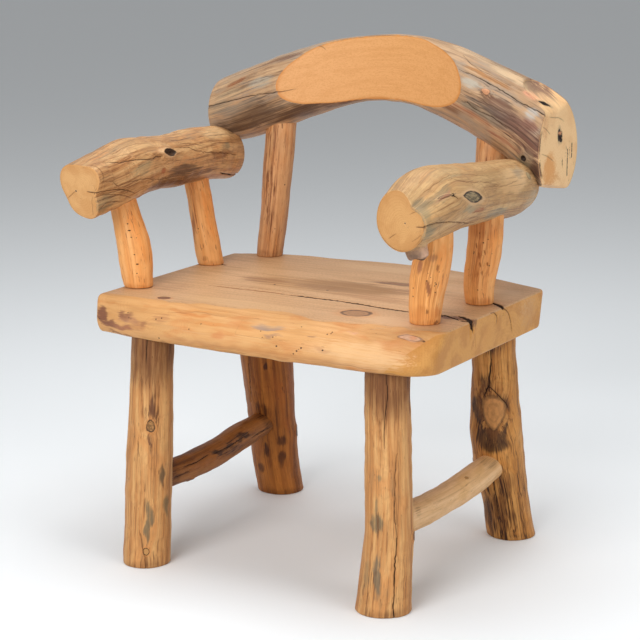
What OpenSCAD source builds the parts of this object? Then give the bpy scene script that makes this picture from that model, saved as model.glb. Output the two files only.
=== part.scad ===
// Log armchair: a thick slab seat on four stout legs, two bowed side stretchers,
// six round posts, two log arms and an arched crook of a log as the back rail.
// Millimetres. X to the sitter's left as seen from the front (the viewer's right),
// Y to the back, Z up. The origin is on the floor under the middle of the chair.

/* [Seat slab] */
// Height of the seat's top above the floor
seat_top = 430; // [410:5:460]
// Thickness of the slab
seat_thick = 62; // [56:1:70]
// Width of the slab. The legs, posts, arms and rail spread with it
seat_width = 600; // [590:5:620]
// Depth of the slab at its deepest. The legs, posts, arms and rail move with it
seat_depth = 490; // [480:5:505]
// How far the end grain leans inwards from the top to the underside
end_lean = 6; // [0:1:14]
// Radius of the front right corner, seen from above
corner_round = 42; // [30:1:60]
// Radius along the worn edges
seat_edge = 7; // [4:0.5:9]

/* [Legs and stretchers] */
// Thickness of the legs, as a share of their natural size
leg_scale = 1; // [0.94:0.01:1.06]
// Radius of the round tenon at the head of each leg
leg_tenon_r = 19; // [16:0.5:21]
// Depth of a leg's tenon in the seat
leg_tenon_len = 44; // [35:1:48]
// Height of the left stretcher at its middle
left_stretcher_z = 130; // [115:1:150]
// Height of the right stretcher at its ends
right_stretcher_z = 128; // [120:1:150]
// Radius of the stretchers' tenons
stretcher_tenon_r = 15; // [12:0.5:16]
// How far a stretcher's tenon reaches past the middle line of its leg
stretcher_reach = 6; // [0:1:12]

/* [Posts] */
// Thickness of the posts, as a share of their natural size
post_scale = 1; // [0.94:0.01:1.06]
// Radius of the arm posts' tenons
post_tenon_r = 17; // [14:0.5:18]
// Radius of the back posts' tenons in the rail
back_tenon_r = 20; // [17:0.5:21]
// Radius of the back posts' tenons in the seat
back_foot_tenon_r = 18; // [15:0.5:19]
// Depth of the posts' tenons in the seat
post_tenon_len = 38; // [30:1:42]
// Depth of the posts' tenons in the arms and the rail, from where they enter
post_head_len = 48; // [40:1:52]

/* [Arms] */
// Height of the arms' middle line above the seat's top
arm_rise = 184; // [178:1:192]
// Thickness of the arms, as a share of their natural size
arm_scale = 1; // [0.96:0.01:1.03]
// Length of the broken branch stub under the right arm
stub_len = 25; // [15:1:30]

/* [Back rail] */
// Height of the rail's crown line above the seat's top
rail_rise = 335; // [325:1:350]
// Thickness of the rail, as a share of its natural size
rail_scale = 1; // [0.97:0.01:1.03]
// Radius of the hollow dressed across the rail's front
hollow_r = 520; // [460:10:600]
// How deep the hollow goes into the front of the rail
hollow_depth = 35; // [25:1:40]
// How far the hollow leans back
hollow_lean = 9; // [0:1:14]
// Radius of the dowels that pin the arms to the rail
dowel_r = 7; // [5:0.5:8]
// Length of those dowels
dowel_len = 70; // [60:1:76]

/* [Fit] */
// Clearance all round a tenon or dowel in its hole
clearance = 0.15; // [0.1:0.05:0.3]
// Gap between two logs that are shaped to one another
joint_gap = 0.3; // [0.2:0.05:0.5]

/* [Hidden] */

// Sides round a leg, a post, an arm and the rail
leg_sides = 18;
post_sides = 16;
arm_sides = 22;
rail_sides = 24;
// Smoothness of the true round parts
$fn = 64;

seat_under = seat_top - seat_thick;
seat_half = seat_width / 2;
// Longer than any log, for the saw cuts
saw_size = 400;
// How far a tenon's cylinder starts inside its own log
tenon_root = 12;
// Turn of a peg about its own middle line, which keeps its seam clear of the long axis of a slanting cut
peg_turn = 30;
// Where the seat's middle lies from the middle of the whole chair
off_x = 21;
off_y = -13;
// The width and depth at which the places below are given
drawn_width = 600;
drawn_depth = 490;

// The axis of each leg, from the middle of its foot to where its flat head meets the seat
leg_feet = [[-213, -214], [218, -210], [-227, 225], [235, 206]];
leg_heads = [[-210, -189], [208, -185], [-213, 137], [228, 132]];
// Radii from foot to head, and how far each leg sways to the right of a straight line
leg_radii = [[37.3, 37.1, 37.2, 37, 35.6, 34.3, 33.4],
             [42.4, 39, 36.6, 36.3, 35.3, 34.4, 33.6],
             [40.6, 40.8, 41.4, 43.5, 45, 44.6, 43],
             [40.5, 39.3, 42, 43.5, 38.5, 35.6, 35.5]];
leg_sway = [[0, 0.3, 0, 0, 0.6, 0, 0],
            [-1, 2.5, 5.5, 5, 3, 1, 0],
            [0, -4, -3, -2, -1.5, -1, 0],
            [0, -4, -9, -10, -6, -3, 0]];

// Posts: the middle of the foot on the seat, and of the head where it enters its log
post_feet = [[-276, -132], [-278, 83], [243, -136], [254, 28], [-231, 197], [178, 190]];
post_heads = [[-305, -132], [-306, 83], [258, -136], [262, 28], [-207, 200], [190, 202]];
// How far below its log's middle line each post enters the log
post_drops = [49, 43, 51, 45, 58, 60];
// Radii from foot to head
post_radii = [[23, 27, 27.5, 24, 22],
              [22, 22, 21.5, 21.5, 21.5],
              [23, 26, 29, 27.5, 25.5],
              [22, 24.5, 26.5, 27, 26.5],
              [22.5, 23.5, 25, 25.5, 25],
              [23.5, 25, 27, 28, 28]];
post_sway = [[0, 3.5, 5.5, 3, 0], [0, 0.5, -0.5, 0.5, 0], [0, -2, -1, 2, 0],
             [0, -3, 0, 1.5, 0], [0, 1.5, 1, 0.5, 0], [0, 1, 2, 1, 0]];

// Middle lines of the arms, as x, y and the height over arm_rise, with radii
arm_left_path = [[-304, -275, -22], [-305, -235, -16], [-305, -180, -8], [-305, -125, 2], [-305, -65, 3],
                 [-306, 10, 0], [-308, 95, 0], [-312, 176, -8]];
arm_left_radii = [40, 43, 48, 49.5, 45, 43.5, 44.5, 45];
arm_right_path = [[258, -275, -19], [260, -235, -12], [261, -170, 0], [261, -100, -1], [260, -20, -6],
                  [257, 50, -11], [250, 115, -17], [239, 176, -22]];
arm_right_radii = [40.5, 44.5, 53.5, 49, 45.5, 45.5, 46, 42];
// Swells and flats on the arms near their sawn ends, each as its station, its angle round the log,
// its reach in stations and in degrees, and its height
arm_left_forms = [[0.7, 320, 0.9, 26, 15], [0.7, 5, 0.8, 22, -9], [0.7, 155, 0.9, 30, -8],
                  [0.7, 225, 0.9, 30, 5], [0.7, 60, 0.7, 26, 4.5]];
arm_right_forms = [[0.75, 308, 0.9, 38, -19]];
// The saw cuts across the arms' front ends: a point on the cut and the way it faces
arm_left_cut = [-305, -243, -17];
arm_left_facing = [-0.17, -0.97, -0.17];
arm_right_cut = [260, -242, -1];
arm_right_facing = [-0.1, -0.99, 0.1];
// Where the broken branch leaves the right arm, the way it points, and its radii there and at its tip
stub_at = [272, -206, -40];
stub_facing = [0.05, -0.1, -1];
stub_radii = [17, 11];
stub_root = 10;

// Middle line of the back rail, as x, y and the height over rail_rise, with radii
rail_path = [[-350, 206, -98], [-290, 205, -80], [-230, 203, -58], [-160, 199, -33], [-90, 194, -12],
             [-20, 190, 0], [50, 190, 1], [110, 194, -13], [165, 199, -35], [215, 204, -59],
             [263, 208, -85], [325, 212, -131]];
rail_radii = [50, 56, 58, 57, 55.5, 54, 56, 58, 59.5, 61.5, 63.5, 66.5];
// A swell on top of the rail, beside its bevel
rail_forms = [[9.75, 98, 0.5, 24, 7]];
// The saw cuts: a point on each, with its height over rail_rise, and the way it faces
rail_left_cut = [-328, 205, -90];
rail_left_facing = [-1, 0, 0];
rail_right_cut = [300, 205, -110];
rail_right_facing = [0.996, -0.087, 0];
// The bevel above the right end's saw cut
rail_bevel_at = [251, 174, -18];
rail_bevel_facing = [0.60, -0.20, 0.77];
// The flat sawn under the right end
rail_toe_at = [300, 156, -163];
rail_toe_facing = [0.1, -0.2, -1];
// Where the hollow's middle lies across the rail, and the station of the rail's crown
hollow_x = -20;
crown_station = 5.5;

// Where each dowel crosses from its arm into the rail, with its height over rail_rise, and its slant
dowel_left_at = [-296, 171, -132];
dowel_right_at = [250, 178, -139];
dowel_slant = 45;

// A value smoothed through a list of them: k counts whole steps along the list
function along(list, k) =
    let (last = len(list) - 1, i = max(0, min(floor(k), last - 1)), t = k - i,
         b = list[i], c = list[i + 1],
         a = i > 0 ? list[i - 1] : 2 * b - c,
         d = i < last - 1 ? list[i + 2] : 2 * c - b)
    b + 0.5 * t * (c - a + t * (2 * a - 5 * b + 4 * c - d + t * (3 * (b - c) + d - a)));

function unit(v) = v / norm(v);
function total(list, i = 0) = i < len(list) ? list[i] + total(list, i + 1) : 0;

// Places across the chair grow with its width, and places from front to back with its depth
function wide(x) = x * seat_width / drawn_width;
function deep(y) = y * seat_depth / drawn_depth;

// The slow swelling of a log's outline, as a share of its radius
function swell(a, k, seed) =
    0.010 * sin(2 * a + 47 * k + seed) + 0.008 * sin(3 * a - 61 * k + 2.3 * seed)
    + 0.005 * sin(5 * a + 83 * k + 3.1 * seed);

// How far from a to b round a circle, from -180 to 180
function turn(a, b) = (b - a + 540) % 360 - 180;

// How high a log's swells and flats lift its skin at an angle and a station
function lift(forms, a, k) =
    total([for (f = forms) f[4] * exp(-pow((k - f[0]) / f[2], 2) - pow(turn(f[1], a) / f[3], 2))]);

// Rings of points along a log. side is the way angle 0 points, level rings stay flat in Z, extra
// thickens the log, before counts the rings that run on past its start, and forms are swells and flats.
function log_rings(path, radii, steps, sides, side, seed, level = false, extra = 0, before = 0, forms = []) =
    let (spans = len(path) - 1, rows = spans * steps)
    [for (i = [-before:rows])
        let (k = i / steps,
             here = along(path, k),
             run = unit(along(path, k + 0.02) - along(path, k - 0.02)),
             t = level ? [0, 0, 1] : run,
             u = unit(side - (side * t) * t),
             v = cross(t, u),
             r = along(radii, k) + extra)
        [for (j = [0:sides - 1])
            let (a = 360 * j / sides)
            here + (r * (1 + swell(a, k, seed)) + lift(forms, a, k)) * (cos(a) * u + sin(a) * v)]];

// The closed solid whose skin runs through a stack of rings
module skin(rings) {
    n = len(rings[0]);
    last = len(rings) - 1;
    walls = [for (i = [0:last - 1], j = [0:n - 1])
        let (a = i * n + j, b = i * n + (j + 1) % n)
        each [[a, a + n, b + n], [a, b + n, b]]];
    foot = [for (j = [0:n - 1]) j];
    head = [for (j = [n - 1:-1:0]) last * n + j];
    polyhedron([for (ring = rings) each ring], concat([foot], walls, [head]), convexity = 6);
}

// Moves a child to a point and turns its +Z to point along d
module aim(at, d) {
    translate(at) rotate([0, acos(d[2] / norm(d)), atan2(d[1], d[0])]) children();
}

// Everything on the far side of a saw cut through a point
module saw_away(at, facing) {
    aim(at, facing) translate([-saw_size / 2, -saw_size / 2, 0]) cube(saw_size);
}

// A straight round peg from one point towards another
module peg(from, to, r) {
    aim(from, to - from) rotate([0, 0, peg_turn]) cylinder(h = norm(to - from), r = r);
}

module placed() {
    translate([off_x, off_y, 0]) children();
}

// Legs

function leg_foot(i) = [wide(leg_feet[i][0]), deep(leg_feet[i][1]), 0];
function leg_head(i) = [wide(leg_heads[i][0]), deep(leg_heads[i][1]), seat_under];
function leg_path(i) =
    [for (k = [0:6]) leg_foot(i) + (leg_head(i) - leg_foot(i)) * k / 6 + [leg_sway[i][k], 0, 0]];
function leg_run(i) = unit(leg_head(i) - leg_foot(i));
// The leg's middle point at a height
function leg_at(i, z) = along(leg_path(i), 6 * z / seat_under);

module leg_tenon(i, extra = 0) {
    peg(leg_head(i) - tenon_root * leg_run(i), leg_head(i) + (leg_tenon_len + extra) * leg_run(i),
        leg_tenon_r + extra);
}

module leg_log(i, extra = 0) {
    skin(log_rings(leg_path(i), leg_radii[i] * leg_scale, 3, leg_sides, [1, 0, 0], 50 * i, true, extra));
}

module leg(i) {
    color([0.80, 0.58, 0.33]) placed() difference() {
        union() {
            leg_log(i);
            leg_tenon(i);
        }
        if (i == 0 || i == 2) stretcher_pegs(true, clearance);
        if (i == 1 || i == 3) stretcher_pegs(false, clearance);
    }
}

// Stretchers

// Middle lines from the front leg to the back leg, left to right offset and height added at each step
left_bow = [[0, 0], [2, -3], [3, -2], [0, 4], [0, 9]];
right_bow = [[0, 0], [-2, -7], [-3, -9], [0, -4], [0, 3]];
left_stretcher_radii = [21, 22, 23.5, 23, 20];
right_stretcher_radii = [23, 23.5, 23, 23.5, 22];

function stretcher_z(left) = left ? left_stretcher_z : right_stretcher_z;
function stretcher_end(left, k) =
    let (leg = left ? (k == 0 ? 0 : 2) : (k == 0 ? 1 : 3),
         bow = left ? left_bow : right_bow)
    let (p = leg_at(leg, stretcher_z(left) + bow[k][1])) [p[0], p[1], stretcher_z(left) + bow[k][1]];
// How far from a leg's middle line a stretcher's round body starts, before it is shaped to the leg
body_gap = 26;
function stretcher_path(left) =
    let (a = stretcher_end(left, 0), b = stretcher_end(left, 4), run = unit(b - a),
         from = a + run * body_gap, to = b - run * body_gap,
         bow = left ? left_bow : right_bow)
    [for (k = [0:4]) from + (to - from) * k / 4
        + [bow[k][0], 0, k == 0 || k == 4 ? 0 : bow[k][1] - bow[4][1] * k / 4]];

module stretcher_pegs(left, extra = 0) {
    a = stretcher_end(left, 0);
    b = stretcher_end(left, 4);
    run = unit(b - a);
    path = stretcher_path(left);
    root = 2 * tenon_root;
    peg(path[0] + root * run, a - (stretcher_reach + extra) * run, stretcher_tenon_r + extra);
    peg(path[4] - root * run, b + (stretcher_reach + extra) * run, stretcher_tenon_r + extra);
}

module stretcher(left) {
    color([0.76, 0.56, 0.32]) placed() union() {
        difference() {
            skin(log_rings(stretcher_path(left), left ? left_stretcher_radii : right_stretcher_radii,
                           4, post_sides, [1, 0, 0], left ? 20 : 140));
            leg_log(left ? 0 : 1, joint_gap);
            leg_log(left ? 2 : 3, joint_gap);
        }
        stretcher_pegs(left);
    }
}

// Posts

// How far a post's body runs on into its log before it is shaped
post_cope = 15;

// Height of the log's middle line over each post, over arm_rise or rail_rise
post_log_rise = [2, 1, 0, -9, -50, -56];
function log_height(i) = seat_top + (i < 4 ? arm_rise : rail_rise) + post_log_rise[i];
function post_foot(i) = [wide(post_feet[i][0]), deep(post_feet[i][1]), seat_top];
function post_head(i) =
    [wide(post_heads[i][0]), deep(post_heads[i][1]), log_height(i) - post_drops[i]];
function post_run(i) = unit(post_head(i) - post_foot(i));
// The post's middle line, run on into its log before it is shaped to the log's underside
function post_path(i) =
    let (foot = post_foot(i), head = post_head(i) + post_cope * post_run(i))
    [for (k = [0:4]) foot + (head - foot) * k / 4 + [post_sway[i][k], 0, 0]];

module post_foot_tenon(i, extra = 0) {
    peg(post_foot(i) + tenon_root * post_run(i), post_foot(i) - (post_tenon_len + extra) * post_run(i),
        (i < 4 ? post_tenon_r : back_foot_tenon_r) + extra);
}

module post_head_tenon(i, extra = 0) {
    peg(post_head(i) - tenon_root * post_run(i), post_head(i) + (post_head_len + extra) * post_run(i),
        (i < 4 ? post_tenon_r : back_tenon_r) + extra);
}

module post(i) {
    color([0.86, 0.56, 0.26]) placed() union() {
        difference() {
            skin(log_rings(post_path(i), post_radii[i] * post_scale, 4, post_sides, [1, 0, 0],
                           30 + 70 * i, true));
            if (i < 4) arm_log(i < 2, joint_gap);
            else rail_log(joint_gap);
        }
        post_foot_tenon(i);
        post_head_tenon(i);
    }
}

// Seat slab

// Edges of the slab from its left end to its right end: the planed top's front edge, the bark
// belly in front of it, the underside's front edge, and the back edge
top_front = [-214, -213, -192, -191, -204, -179, -203];
belly_front = [-218, -233, -241, -244, -243, -242, -234];
under_front = [-211, -226, -233, -237, -236, -235, -222];
back_edge = [187, 225, 236, 249, 242, 214, 176];
// Lines along the slab's front, from the underside to the top: how high each lies, as a share of
// the thickness, and how far it has drawn from the belly's edge to the top's
front_heights = [0, 0.30, 0.62, 0.88, 1];
front_mix = [0, 0, 0.18, 0.58, 1];
// How much of the corner's rounding reaches the top's edge
top_corner = 0.6;
// Radii of the slab's back corners, seen from above
back_corner_left = 12;
back_corner_right = 14;
// How far from the right end its lean starts, and how much of the ridge there is worn off
lean_reach = 80;
ridge_wear = 3;

// How far a worn edge of a given radius pulls in at a distance from the end
function worn(distance, r) = distance >= r ? 0 : r - sqrt(r * r - (r - distance) * (r - distance));

// The slab's outline at x, from the underside's back edge over the top to the underside's front edge
function slab_ring(x) =
    let (k = 6 * (x + seat_half) / seat_width,
         right = seat_half - x,
         pull = worn(x + seat_half, seat_edge) + worn(right, ridge_wear),
         corner = worn(right, corner_round),
         low = seat_under + pull,
         high = seat_top - pull,
         t = high - low,
         belly = along(belly_front, k),
         top = along(top_front, k),
         front = [for (j = [0:4])
             let (edge = j == 0 ? along(under_front, k) : belly + (top - belly) * front_mix[j])
             [deep(edge) + corner * (j == 4 ? top_corner : 1), low + front_heights[j] * t]],
         corners = worn(right, back_corner_right) + worn(x + seat_half, back_corner_left),
         back = deep(along(back_edge, k)) - corners)
    concat(
        [for (a = [-90:45:0]) let (z = low + seat_edge + seat_edge * sin(a))
            [x - end_shift(z, right), back - pull - seat_edge + seat_edge * cos(a), z]],
        [for (a = [0:30:90]) let (z = high - seat_edge + seat_edge * sin(a))
            [x - end_shift(z, right), back - pull - seat_edge + seat_edge * cos(a), z]],
        [for (j = [8:-1:0]) let (p = along(front, j / 2)) [x - end_shift(p[1], right), p[0] + pull, p[1]]]);
// The right end leans in towards the underside
function end_shift(z, right) = end_lean * (seat_top - z) / seat_thick * max(0, 1 - right / lean_reach);

// Stations across the slab: close together at the worn ends, as distances from each end, and even between
left_stations = [0, 0.6, 2, 4, seat_edge, 12];
right_stations = [36, 26, 18, 11, 6, 3, 1, 0];
slab_inner = 18;
slab_first = 12;
slab_last = 48;
slab_stations = concat(
    left_stations,
    [for (i = [1:slab_inner]) slab_first + (seat_width - slab_first - slab_last) * i / slab_inner],
    [for (d = right_stations) seat_width - d]);

module seat_slab() {
    color([0.84, 0.63, 0.38]) placed() difference() {
        skin([for (s = slab_stations) slab_ring(s - seat_half)]);
        for (i = [0:3]) leg_tenon(i, clearance);
        for (i = [0:5]) post_foot_tenon(i, clearance);
    }
}

// Arms

// Points given by their height over arm_rise or rail_rise, in the chair
function over_arm(p) = [wide(p[0]), deep(p[1]), p[2] + seat_top + arm_rise];
function over_rail(p) = [wide(p[0]), deep(p[1]), p[2] + seat_top + rail_rise];
function arm_path(left) = [for (p = left ? arm_left_path : arm_right_path) over_arm(p)];
function rail_line() = [for (p = rail_path) over_rail(p)];

module rail_log(extra = 0, before = 0) {
    skin(log_rings(rail_line(), rail_radii * rail_scale, 3, rail_sides, [0, 1, 0], 200, false,
                   extra, before, rail_forms));
}

module rail_dowel(left, extra = 0) {
    at = over_rail(left ? dowel_left_at : dowel_right_at);
    d = [0, sin(dowel_slant), cos(dowel_slant)];
    peg(at - (dowel_len / 2 + extra) * d, at + (dowel_len / 2 + extra) * d, dowel_r + extra);
}

module arm_log(left, extra = 0) {
    skin(log_rings(arm_path(left), (left ? arm_left_radii : arm_right_radii) * arm_scale, 3,
                   arm_sides, [1, 0, 0], left ? 10 : 95, false, extra, 0,
                   left ? arm_left_forms : arm_right_forms));
}

module arm(left) {
    color([0.66, 0.54, 0.37]) placed() difference() {
        union() {
            arm_log(left);
            if (!left) branch_stub();
        }
        saw_away(over_arm(left ? arm_left_cut : arm_right_cut), left ? arm_left_facing : arm_right_facing);
        rail_log(joint_gap, 3);
        for (i = left ? [0, 1] : [2, 3]) post_head_tenon(i, clearance);
        rail_dowel(left, clearance);
    }
}

// The broken end of a branch under the front of the right arm
module branch_stub() {
    aim(over_arm(stub_at), stub_facing)
        cylinder(h = stub_root + stub_len, r1 = stub_radii[0], r2 = stub_radii[1]);
}

// Back rail

module back_rail() {
    slant = [0, sin(hollow_lean), cos(hollow_lean)];
    middle = along(rail_line(), crown_station);
    skin_y = middle[1] - rail_radii[5] * rail_scale;
    color([0.68, 0.55, 0.38]) placed() difference() {
        rail_log();
        saw_away(over_rail(rail_left_cut), rail_left_facing);
        saw_away(over_rail(rail_right_cut), rail_right_facing);
        saw_away(over_rail(rail_bevel_at), rail_bevel_facing);
        saw_away(over_rail(rail_toe_at), rail_toe_facing);
        aim([wide(hollow_x), skin_y + hollow_depth - hollow_r, middle[2]], slant)
            translate([0, 0, -saw_size / 2]) cylinder(h = saw_size, r = hollow_r, $fn = 180);
        for (i = [4, 5]) post_head_tenon(i, clearance);
        rail_dowel(true, clearance);
        rail_dowel(false, clearance);
    }
}

module leg_front_left() leg(0);
module leg_front_right() leg(1);
module leg_back_left() leg(2);
module leg_back_right() leg(3);
module stretcher_left() stretcher(true);
module stretcher_right() stretcher(false);
module arm_post_left_front() post(0);
module arm_post_left_back() post(1);
module arm_post_right_front() post(2);
module arm_post_right_back() post(3);
module back_post_left() post(4);
module back_post_right() post(5);
module arm_left() arm(true);
module arm_right() arm(false);
module rail_dowel_left() color([0.85, 0.68, 0.45]) placed() rail_dowel(true);
module rail_dowel_right() color([0.85, 0.68, 0.45]) placed() rail_dowel(false);

seat_slab();
leg_front_left();
leg_front_right();
leg_back_left();
leg_back_right();
stretcher_left();
stretcher_right();
arm_post_left_front();
arm_post_left_back();
arm_post_right_front();
arm_post_right_back();
back_post_left();
back_post_right();
arm_left();
arm_right();
back_rail();
rail_dowel_left();
rail_dowel_right();
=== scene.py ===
import math
from functools import partial

import bmesh
import bpy
import numpy as np
from mathutils import Matrix, Vector


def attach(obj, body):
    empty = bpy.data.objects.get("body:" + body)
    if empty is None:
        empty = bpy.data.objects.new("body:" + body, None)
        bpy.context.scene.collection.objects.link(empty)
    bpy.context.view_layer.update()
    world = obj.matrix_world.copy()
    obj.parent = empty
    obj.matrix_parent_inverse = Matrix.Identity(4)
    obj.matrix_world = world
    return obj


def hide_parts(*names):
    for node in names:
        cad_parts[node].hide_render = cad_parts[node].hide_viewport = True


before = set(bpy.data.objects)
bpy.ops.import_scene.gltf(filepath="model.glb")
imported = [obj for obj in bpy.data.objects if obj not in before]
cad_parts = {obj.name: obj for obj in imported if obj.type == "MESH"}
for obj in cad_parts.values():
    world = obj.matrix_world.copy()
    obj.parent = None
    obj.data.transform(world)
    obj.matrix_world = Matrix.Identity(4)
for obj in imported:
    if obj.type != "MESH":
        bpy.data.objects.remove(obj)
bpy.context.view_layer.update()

# Lengths are millimetres in the chair's own frame until a mesh is made. SHIFT brings it to its place.
SHIFT = np.array([21.0, -13.0, 0.0])
METRE = 0.001
SEAT_TOP = 430.0
SEAT_UNDER = 368.0
ARM_Z = 614.0
RAIL_Z = 765.0
UP = (0, 0, 1)
EAST = (1, 0, 0)


# Camera, as it stood for the photograph

AZIMUTH = math.radians(30.1518)
ELEVATION = math.radians(12.7862)
CAMERA_TARGET = (0.0057, -0.013, 0.3778)
CAMERA_DISTANCE = 3.2155
LENS = 112.547
SENSOR = 36.0
CLIP_END = 200.0


def add_camera():
    back = Vector((math.sin(AZIMUTH) * math.cos(ELEVATION), -math.cos(AZIMUTH) * math.cos(ELEVATION),
                   math.sin(ELEVATION)))
    right = Vector((math.cos(AZIMUTH), math.sin(AZIMUTH), 0.0))
    up = back.cross(right)
    data = bpy.data.cameras.new("camera")
    data.lens = LENS
    data.sensor_width = SENSOR
    data.clip_end = CLIP_END
    camera = bpy.data.objects.new("camera", data)
    place = Vector(CAMERA_TARGET) + CAMERA_DISTANCE * back
    camera.matrix_world = Matrix.Translation(place) @ Matrix((right, up, back)).transposed().to_4x4()
    bpy.context.scene.collection.objects.link(camera)
    bpy.context.scene.camera = camera


add_camera()


# Curves and log surfaces

TABLE_STEPS = 1500
RUN_STEP = 0.02
PAST_END = 0.45
HALVINGS = 26
RIDGE_ROUND = 1.5


def bend(a, b, c, d, t):
    """A smooth curve from b to c at a share t of the way, with a before b and d after c."""
    return b + 0.5 * t * (c - a + t * (2 * a - 5 * b + 4 * c - d + t * (3 * (b - c) + d - a)))


def along(values, k):
    """A list of values smoothed, at k whole steps along it."""
    v = np.asarray(values, float)
    k = np.asarray(k, float)
    last = len(v) - 1
    i = np.clip(np.floor(k).astype(int), 0, last - 1)
    t = k - i
    b, c = v[i], v[i + 1]
    has_before, has_after = i > 0, i < last - 1
    if v.ndim > 1:
        t, has_before, has_after = t[..., None], has_before[..., None], has_after[..., None]
    a = np.where(has_before, v[np.maximum(i - 1, 0)], 2 * b - c)
    d = np.where(has_after, v[np.minimum(i + 2, last)], 2 * c - b)
    return bend(a, b, c, d, t)


def unit(v):
    v = np.asarray(v, float)
    return v / np.linalg.norm(v, axis=-1, keepdims=True)


def smooth(low, high, x):
    """0 at low, 1 at high, and a soft step between."""
    t = np.clip((np.asarray(x, float) - low) / (high - low), 0, 1)
    return t * t * (3 - 2 * t)


def worn(d, r):
    """How far an edge worn to radius r draws in at a distance d from the end."""
    d = np.clip(d, 0, r)
    return r - np.sqrt(np.maximum(r * r - (r - d) ** 2, 0))


class Log:
    """A round log: the same middle line, radii and slow swelling as its solid."""

    def __init__(self, path, radii, side, seed, level=False, forms=()):
        self.path = np.array(path, float)
        self.radii = np.array(radii, float)
        self.side = np.array(side, float)
        self.seed = seed
        self.level = level
        self.forms = forms
        self.last = len(path) - 1
        self.mean = float(np.mean(radii))
        self.table_k = np.linspace(-0.5, self.last + 0.5, TABLE_STEPS)
        steps = np.linalg.norm(np.diff(along(self.path, self.table_k), axis=0), axis=1)
        self.table_s = np.concatenate([[0], np.cumsum(steps)])
        self.table_s -= np.interp(0, self.table_k, self.table_s)

    def s_of(self, k):
        """The length along the log at station k."""
        return np.interp(k, self.table_k, self.table_s)

    def k_of(self, s):
        return np.interp(s, self.table_s, self.table_k)

    def frame(self, k):
        """The middle line at station k, the way it runs, and two directions across it."""
        here = along(self.path, k)
        run = unit(along(self.path, k + RUN_STEP) - along(self.path, k - RUN_STEP))
        t = np.broadcast_to([0.0, 0.0, 1.0], run.shape) if self.level else run
        u = unit(self.side - (t @ self.side)[..., None] * t)
        return here, t, u, np.cross(t, u)

    def swell(self, a, k):
        d = math.pi / 180
        return (0.010 * np.sin(2 * a + d * (47 * k + self.seed))
                + 0.008 * np.sin(3 * a - d * (61 * k - 2.3 * self.seed))
                + 0.005 * np.sin(5 * a + d * (83 * k + 3.1 * self.seed)))

    def rise(self, a, k):
        """How high the log's swells and flats lift its skin."""
        total = 0.0
        for station, degrees, reach, wide, height in self.forms:
            turn = (np.degrees(a) - degrees + 540) % 360 - 180
            total = total + height * np.exp(-((k - station) / reach) ** 2 - (turn / wide) ** 2)
        return total

    def spot(self, k, a, share=1.0):
        """The point at station k, angle a and a share of the radius, its way outwards and the radius."""
        k, a = np.broadcast_arrays(np.asarray(k, float), np.asarray(a, float))
        here, _, u, v = self.frame(k)
        out = np.cos(a)[..., None] * u + np.sin(a)[..., None] * v
        r = along(self.radii, k) * (1 + self.swell(a, k)) + self.rise(a, k)
        return here + (share * r)[..., None] * out, out, r


def beyond(p, planes):
    """How far points lie beyond a set of saw cuts, with the ridges between the cuts rounded."""
    d = np.array([(p - np.array(at, float)) @ unit(facing) for at, facing in planes])
    if len(d) == 1:
        return d[0]
    top = d.max(0)
    return top + RIDGE_ROUND * np.log(np.exp((d - top) / RIDGE_ROUND).sum(0))


def end_station(log, far, planes, run_on, a, share):
    """The stations where a log ends, on its saw cuts or square across, at angles and shares of its radius."""
    a, share = np.broadcast_arrays(np.asarray(a, float), np.asarray(share, float))
    if not planes:
        return np.full(a.shape, log.last + run_on if far else 0.0)
    low = np.full(a.shape, log.last / 2)
    high = np.full(a.shape, log.last + PAST_END if far else -PAST_END)
    for _ in range(HALVINGS):
        middle = (low + high) / 2
        past = beyond(log.spot(middle, a, share)[0], planes) > 0
        high = np.where(past, middle, high)
        low = np.where(past, low, middle)
    return (low + high) / 2


class Waves:
    """A slow, seeded unevenness that closes on itself round a piece."""

    def __init__(self, seed, count=36, longest=220.0, shortest=24.0, round_most=7):
        rng = np.random.default_rng(seed)
        self.length = longest * (shortest / longest) ** rng.random(count)
        self.turns = rng.integers(0, round_most + 1, count)
        self.phase = rng.random(count) * 2 * math.pi
        self.sign = rng.choice([-1.0, 1.0], count)
        size = (self.length / longest) ** 0.6 / (1 + 0.25 * self.turns)
        self.size = size / np.sqrt((size ** 2).sum() / 2)

    def __call__(self, s, a):
        total = 0
        each = zip(self.length, self.turns, self.phase, self.sign, self.size)
        for length, turns, phase, sign, size in each:
            total = total + size * np.sin(turns * a + sign * 2 * math.pi * s / length + phase)
        return total


# Marks on a surface. A place is a point, the way the surface faces there and the way a mark on it runs.

CRACK_REACH = 12.0
CRACK_STEP = 5.0
CRACK_TIP = 0.15
CRACK_TAPER = 0.2
WANDER = 0.035
WANDER_LENGTHS = (46, 46, 30, 30, 19, 19, 12, 12, 8, 8)
STAIN_AND_PAINTED_LIGHT_DEPTH = 18.0
WEAR_AND_SHADE_DEPTH = 22.0
KNOT = dict(tone=0.5, dark=0.85, mottle=0.0, swell=0.0, spread=2.0, rim=0.0, deep=0.0, stub=0.0, turn=0.0,
            almond=0.0, taper=0.0, flow=True, on_end=False)
BLACK = dict(tone=0.0)
PALE = dict(tone=1.0)
HOLE = dict(tone=0.12, flow=False, dark=0.3)
END_EYE = dict(BLACK, on_end=True, flow=False)


def on_log(log, k, degrees):
    p, out, _ = log.spot(k, math.radians(degrees))
    t = log.frame(np.asarray(k, float))[1]
    return p, out, unit(t - (t @ out) * out)


def on_face(p, facing, run):
    out = unit(facing)
    run = np.array(run, float)
    return np.array(p, float), out, unit(run - (run @ out) * out)


def face(facing, run):
    """Places marks on a flat face by their points."""
    return lambda *p: on_face(p, facing, run)


def knots_at(place, rows):
    """Knots from rows of where they lie, half length, half width and look."""
    return [dict(KNOT, place=place(*at), size=(long, wide), **look) for *at, long, wide, look in rows]


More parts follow.
